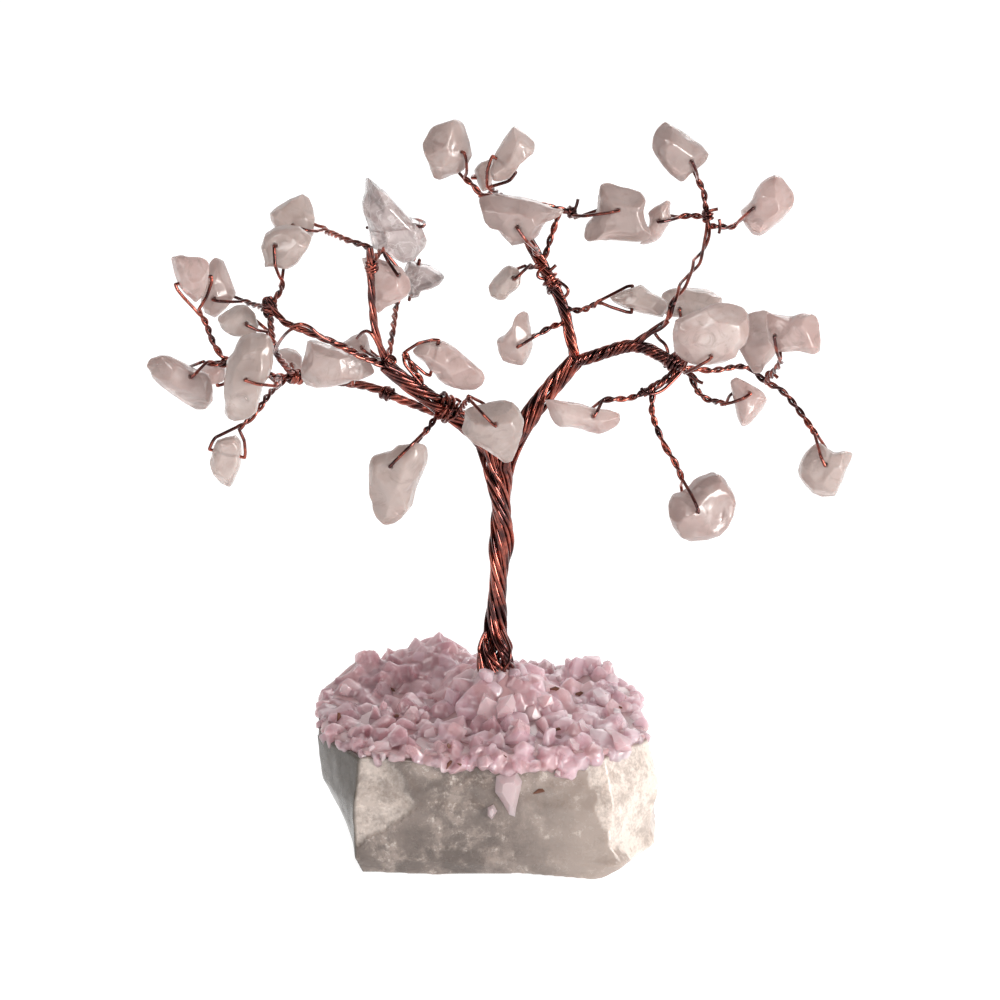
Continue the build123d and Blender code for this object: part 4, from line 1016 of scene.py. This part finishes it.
def stonePiece():
    solid = frame["nodes"]["base_stone"].data.copy()
    piece = remeshed("raw_quartz_block", solid, block["voxel"], block["smooth"])
    bakeModifiers(piece)
    points, normals = readPoints(piece.data), readNormals(piece.data)
    weight = eased(points[:, 2], block["flatBelow"], block["fullAbove"])
    left, right = frostedPlanes(points, normals)
    relief = noiseAt(points, block["swellWave"]) * block["swell"]
    relief += noiseAt(points, block["chipWave"]) * block["chip"]
    relief += noiseAt(points, block["grainWave"]) * block["grain"] * (block["plainGrain"] + left + right)
    relief -= left * block["ledge"] + right * block["ledge"] * block["rightLedge"]
    points = points + normals * (relief * weight)[:, None]
    points[:, 0] += roundedCorner(points, normals)
    points[:, 2] = np.maximum(points[:, 2], 0)
    writePoints(piece.data, points)
    addShare(piece.data, "frost", np.maximum(left * block["leftFrost"], right))
    # painted shade: a share that darkens the side facing left
    addShare(piece.data, "shade", eased(-normals[:, 0], *block["shadeFacing"]))
    # painted light: a share that grows towards the right side
    addShare(piece.data, "glow", eased(points[:, 0], *block["glow"]))
    return settle(piece, rawQuartz, "tree", "raw_quartz", "base_stone")


stone = stonePiece()
print("block broken")

# crushed quartz: glue heaped up round the trunk, chips bedded in it and hanging over the block's front edge
crush = {
    "seed": 22, "voxel": 0.24 * mm, "smooth": 3, "pitch": 2.6 * mm, "jitter": 0.5,
    "radius": (3.0 * mm, 4.4 * mm), "bedded": -0.45, "corners": (15, 21), "frontEdge": -5 * mm,
    "frontRadius": (2.0 * mm, 3.0 * mm), "frontBedded": -0.1, "frontCorners": (9, 13),
    "stretch": ((0.8, 1.3), (0.7, 1.0), (0.6, 0.95)), "rough": (0.85, 1.05),
    "heapCount": 34, "heapReach": (0.25, 1.1), "grain": 0.05 * mm, "grainWave": 0.9 * mm,
    "bevel": 0.1 * mm, "facet": math.radians(20), "smallest": 0.9 * mm, "roomShare": 0.8,
    "rimCount": 70, "rimRadius": (1.3 * mm, 2.1 * mm), "rimDrop": 0.3 * mm, "rimRise": (0.2 * mm, 0.6 * mm),
    "rimJitter": 0.4, "rimSunk": 0.45,
    "strewn": 36, "strewnRadius": (0.7 * mm, 1.3 * mm), "varied": 0.55, "paintedLightAcross": (-24 * mm, 18 * mm),
    "seenPitch": 8, "seenJitter": 0.4, "edgeRow": 742, "hangRadius": (1.4 * mm, 2.1 * mm),
    "border": [(356, 742), (400, 750), (425, 758), (440, 766), (470, 772), (540, 772), (572, 775), (600, 758),
               (622, 752), (642, 738)],
}
# place, rise and radius of each heap
heaps = [(0, 0, 7.8 * mm, 6.5 * mm), (-9.7 * mm, 13.5 * mm, 4.5 * mm, 6.5 * mm),
         (-21 * mm, 12 * mm, 2.8 * mm, 5 * mm), (16 * mm, 13 * mm, 1.8 * mm, 4 * mm)]
glueFilm = {"voxel": 0.4 * mm, "smooth": 4, "heapFrom": 0.1 * mm, "heapFull": 0.8 * mm}
# single chips: the pixel each is seen at, and its size in millimetres
largeChips = [((399, 738), 2.2), ((375, 717), 2.0), ((432, 720), 2.1), ((516, 734), 2.5), ((533, 714), 2.3),
              ((622, 742), 2.3), ((484, 762), 1.7), ((545, 700), 2.0), ((600, 700), 2.2), ((452, 700), 2.0),
              ((569, 664), 1.2), ((486, 676), 1.5), ((500, 680), 1.8), ((514, 675), 1.5)]
glassChips = [((490, 708), 2.6), ((508, 706), 3.0), ((575, 746), 1.8), ((468, 732), 1.6), ((558, 773), 1.0),
              ((381, 757), 0.9), ((373, 749), 0.8), ((430, 735), 1.3), ((585, 725), 1.5), ((346, 690), 1.2),
              ((607, 668), 1.3)]
splinters = {"ridgeShare": 0.45, "thick": 1.5 * mm, "sunk": 0.4 * mm,  # outlines as seen on the front face
             "outlines": [[(494, 774), (503, 769), (518, 769), (524, 780), (521, 791), (522, 802), (516, 821),
                           (509, 819), (502, 802), (493, 792)],
                          [(487, 807), (494, 803), (498, 811), (492, 821), (487, 816)]]}
flecks = {"radius": (0.4 * mm, 0.8 * mm), "stretch": (1.6, 0.7, 0.5),
          "pixels": [(339, 719), (396, 716), (391, 689), (450, 747), (448, 766), (554, 689), (577, 694),
                     (620, 707), (557, 730), (538, 792), (505, 756), (460, 765)]}


def heapRise(points):  # how high the glue is heaped at each place
    rise = np.zeros(len(points))
    for x, y, height, radius in heaps:
        away = np.hypot(points[:, 0] - x, points[:, 1] - y)
        rise += height * np.exp(-(away / radius) ** 2)
    return rise


def gluePiece():
    solid = frame["nodes"]["glue_bed"].data.copy()
    piece = remeshed("glue_film", solid, glueFilm["voxel"], glueFilm["smooth"])
    bakeModifiers(piece)
    points = readPoints(piece.data)
    low, high = stoneTop + glueFilm["heapFrom"], stoneTop + glueFilm["heapFull"]
    points[:, 2] += heapRise(points) * eased(points[:, 2], low, high)
    writePoints(piece.data, points)
    return settle(piece, clearGlue, "tree", "glue", "glue_bed")


def addHull(bm, corners):
    hull = bmesh.ops.convex_hull(bm, input=[bm.verts.new(corner) for corner in corners])
    spare = hull["geom_interior"] + hull["geom_unused"]
    spare = {item for item in spare if isinstance(item, bmesh.types.BMVert)}
    bmesh.ops.delete(bm, geom=list(spare), context="VERTS")


def addShard(bm, chance, centre, size, stretch=None):
    count = chance.randint(*crush["frontCorners" if centre.y < crush["frontEdge"] else "corners"])
    stretch = stretch or [chance.uniform(*span) for span in crush["stretch"]]
    turn = Euler(triple(chance.uniform, 0, 6.3)).to_matrix()
    corners = []
    for corner in range(count):
        spot = Vector(triple(chance.gauss, 0, 1)).normalized()
        spot = Vector([s * t for s, t in zip(spot, stretch)]) * (size * chance.uniform(*crush["rough"]))
        corners.append(centre + turn @ spot)
    addHull(bm, corners)


def seenSpot(pixel, trees):  # the nearest surface seen at a pixel
    ray = rayTo(*pixel).normalized()
    hits = [hit for hit in (tree.ray_cast(eye, ray) for tree in trees) if hit[0] is not None]
    return min(hits, key=lambda hit: hit[3])[0] if hits else None


def seenSpots(chips, trees):  # places and sizes of chips that were placed by pixel
    spots = [(seenSpot(pixel, trees), size) for pixel, size in chips]
    return [(spot, size) for spot, size in spots if spot is not None]


def bedSpots(chance, bed, side):  # chips all over the glue, more of them on its heaps
    low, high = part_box("glue_bed")
    places = [Vector((x, y, 1)) for y in np.arange(low.y, high.y, crush["pitch"])
              for x in np.arange(low.x, high.x, crush["pitch"])]
    for x, y, height, radius in heaps:
        for number in range(round(crush["heapCount"] * height / heaps[0][2])):
            angle = chance.uniform(0, 2 * math.pi)
            reach = radius * chance.uniform(*crush["heapReach"])
            places.append(Vector((x + reach * math.cos(angle), y + reach * math.sin(angle), 1)))
    spots = []
    for place in places:
        stray = crush["jitter"]
        jitter = Vector((chance.uniform(-stray, stray), chance.uniform(-stray, stray), 0)) * crush["pitch"]
        front = place.y < crush["frontEdge"]
        size = chance.uniform(*crush["frontRadius" if front else "radius"])
        hit = bed.ray_cast(place + jitter, Vector((0, 0, -1)))[0]
        if hit is not None:
            size = min(size, crush["smallest"] + crush["roomShare"] * roomAround(hit, side))
            spots.append((hit + Vector((0, 0, size * crush["frontBedded" if front else "bedded"])), size))
    return spots


def roomAround(spot, side):  # how far the block's edge is, at the height of its rim
    within = Vector((spot.x, spot.y, stoneTop - crush["rimDrop"]))
    ways = [Vector((math.cos(angle), math.sin(angle), 0)) for angle in np.arange(0, 2 * math.pi, math.pi / 4)]
    return min(side.ray_cast(within, way)[3] or 0 for way in ways)


def strewnSpots(chance, trees):  # small chips that lie on top
    low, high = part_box("glue_bed")
    spots = []
    for number in range(crush["strewn"]):
        above = Vector((chance.uniform(low.x, high.x), chance.uniform(low.y, high.y), 1))
        hits = [tree.ray_cast(above, Vector((0, 0, -1)))[0] for tree in trees]
        hits = [hit for hit in hits if hit is not None]
        if hits:
            spots.append((max(hits, key=lambda hit: hit.z), chance.uniform(*crush["strewnRadius"])))
    return spots


def rimSpots(chance, side):  # chips all round the block's top edge
    low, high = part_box("base_stone")
    middle = Vector(((low.x + high.x) / 2, 0, stoneTop - crush["rimDrop"]))
    spots = []
    for number in range(crush["rimCount"]):
        stray = chance.uniform(-crush["rimJitter"], crush["rimJitter"])
        angle = 2 * math.pi * (number + stray) / crush["rimCount"]
        way = Vector((math.cos(angle), math.sin(angle), 0))
        hit = side.ray_cast(middle + way * (high - low).length, -way)[0]
        size = chance.uniform(*crush["rimRadius"])
        rise = Vector((0, 0, chance.uniform(*crush["rimRise"])))
        spots.append((hit - way * size * crush["rimSunk"] + rise, size))
    return spots


def hangingSpots(chance, side):  # chips over the front edge, down to where they end on the front face
    step, stray = crush["seenPitch"], crush["seenJitter"]
    ends = crush["border"]
    spots = []
    for across in np.arange(ends[0][0], ends[-1][0], step):
        lowest = np.interp(across, [end[0] for end in ends], [end[1] for end in ends])
        for down in np.arange(crush["edgeRow"], lowest, step):
            pixel = (across + chance.uniform(-stray, stray) * step,
                     down + chance.uniform(-stray, stray) * step)
            hit = seenSpot(pixel, [side])
            if hit is not None:
                spots.append((hit, chance.uniform(*crush["hangRadius"])))
    return spots


def addSplinter(bm, outline, side):  # a splinter that lies on the block's front, with a ridge down its middle
    seated = [seenSpot(pixel, [side]) for pixel in outline]
    middle = sum(seated, Vector()) / len(seated)
    ridge = [middle + (spot - middle) * splinters["ridgeShare"] for spot in seated]
    ridge = [spot - lookAlong * splinters["thick"] for spot in ridge]
    addHull(bm, [spot + lookAlong * splinters["sunk"] for spot in seated] + ridge)


def paintTintsAndLight(piece, spots, chance):  # each chip has a tint of its own, and painted light makes the chips paler towards the right
    centres = KDTree(len(spots))
    for number, (spot, size) in enumerate(spots):
        centres.insert(spot, number)
    centres.balance()
    across = np.array([spot.x for spot, size in spots])
    tintsAndPaintedLight = crush["varied"] * np.array([chance.random() for spot in spots])
    # painted light: chips paler towards the right
    tintsAndPaintedLight += (1 - crush["varied"]) * eased(across, *crush["paintedLightAcross"])
    nearest = [centres.find(vertex.co)[1] for vertex in piece.data.vertices]
    addShare(piece.data, "tint", tintsAndPaintedLight[nearest])


def fusedShards(name, chance, spots):  # chips grown together by the glue
    bm = bmesh.new()
    for spot, size in spots:
        addShard(bm, chance, spot, size)
    mesh = bpy.data.meshes.new(name)
    bm.to_mesh(mesh)
    bm.free()
    piece = remeshed(name, mesh, crush["voxel"], crush["smooth"])
    bakeModifiers(piece)
    points, normals = readPoints(piece.data), readNormals(piece.data)
    grain = noiseAt(points, crush["grainWave"]) * crush["grain"]
    writePoints(piece.data, points + normals * grain[:, None])
    paintTintsAndLight(piece, spots, chance)
    return piece


def looseShards(name, chance, spots, stretch=None, side=None):
    bm = bmesh.new()
    for spot, size in spots:
        addShard(bm, chance, spot, size, stretch)
    for outline in splinters["outlines"] if side else []:
        addSplinter(bm, outline, side)
    bmesh.ops.dissolve_limit(bm, angle_limit=crush["facet"], verts=bm.verts, edges=bm.edges)
    bmesh.ops.bevel(bm, geom=bm.edges[:], offset=crush["bevel"], segments=2, profile=0.6, affect="EDGES",
                    clamp_overlap=True)
    mesh = bpy.data.meshes.new(name)
    bm.to_mesh(mesh)
    bm.free()
    piece = addPiece(name, mesh)
    piece.modifiers.new("even", "WEIGHTED_NORMAL")
    bakeModifiers(piece)
    return piece


def crushedPieces():
    chance = random.Random(crush["seed"])
    side, bed = treeOf(stone.data), treeOf(gluePiece().data)
    spots = bedSpots(chance, bed, side) + rimSpots(chance, side) + hangingSpots(chance, side)
    front = fusedShards("crushed_front_shards", chance, [item for item in spots if item[0].y < 0])
    back = fusedShards("crushed_back_shards", chance, [item for item in spots if item[0].y >= 0])
    settle(front, crushedQuartz, "tree", "crushed_quartz", "crushed_front")
    settle(back, crushedQuartz, "tree", "crushed_quartz", "crushed_back")
    seen = [treeOf(front.data), treeOf(back.data), side]
    spots = seenSpots([(pixel, size * mm) for pixel, size in largeChips], seen)
    spots += strewnSpots(chance, seen[:2])
    loose = looseShards("crushed_loose_chips", chance, spots)
    paintTintsAndLight(loose, spots, chance)
    settle(loose, crushedQuartz, "tree", "crushed_quartz")
    spots = seenSpots([(pixel, size * mm) for pixel, size in glassChips], seen)
    glass = looseShards("clear_quartz_chips", chance, spots, None, side)
    settle(glass, clearQuartz, "tree", "crushed_quartz")
    specks = seenSpots([(pixel, chance.uniform(*flecks["radius"])) for pixel in flecks["pixels"]], seen)
    settle(looseShards("rust_flecks", chance, specks, flecks["stretch"]), rust, "tree", "crushed_quartz")


crushedPieces()
print("crushed quartz glued")


# floor and light: each lamp's place, target, size, power and colour
studio = {
    "reach": 4, "floor": (0.4, 0.4, 0.4, 1), "floorGlow": 0.85,
    "dim": (0.1, 0.1, 0.1, 1), "bright": (1, 1, 1, 1), "strength": 0.85,
    "lamps": {"key": ((0.45, -0.40, 0.12), (0, 0, 0.06), 0.24, 3.3, (1, 0.97, 0.94)),
              "fill": ((-0.3, -0.45, 0.42), (0, 0, 0.06), 0.25, 1.2, (1, 0.98, 0.96)),
              "rim": ((0.15, 0.45, 0.35), (0, 0, 0.07), 0.3, 0.6, (1, 1, 1))},
}


def addFloor():
    mesh = bpy.data.meshes.new("floor")
    reach = studio["reach"]
    mesh.from_pydata([(-reach, -reach, 0), (reach, -reach, 0), (reach, reach, 0), (-reach, reach, 0)], [],
                     [(0, 1, 2, 3)])
    floor = bpy.data.objects.new("floor", mesh)
    scene.collection.objects.link(floor)
    material, flow, place = startMaterial("floor")
    closeMaterial(flow, {"Base Color": studio["floor"], "Roughness": 0.7, "Specular IOR Level": 0.1,
                         "Emission Color": studio["bright"], "Emission Strength": studio["floorGlow"]})
    mesh.materials.append(material)


def addLight(name, place, target, size, power, colour):
    lamp = bpy.data.lights.new(name, "AREA")
    lamp.shape = "DISK"
    lamp.size = size
    lamp.energy = power
    lamp.color = colour
    light = bpy.data.objects.new(name, lamp)
    light.location = place
    light.rotation_euler = (Vector(target) - Vector(place)).to_track_quat("-Z", "Y").to_euler()
    scene.collection.objects.link(light)


def addWorld():
    world = bpy.data.worlds.new("studio")
    world.use_nodes = True
    world.node_tree.nodes.clear()
    flow = Flow(world.node_tree)
    way = flow.node("TexCoord", out="Generated")
    across, back = (flow.node("SeparateXYZ", {}, {0: way}, axis) for axis in (0, 1))
    shade = (back + 0.2 * across).between(-0.6, 0.5).mixed(studio["dim"], studio["bright"])
    sky = flow.node("Background", {}, {"Color": shade, "Strength": studio["strength"]})
    flow.node("OutputWorld", {}, {"Surface": sky})
    scene.world = world


addFloor()
addWorld()
for lampName, lamp in studio["lamps"].items():
    addLight(lampName, *lamp)
print("lit")
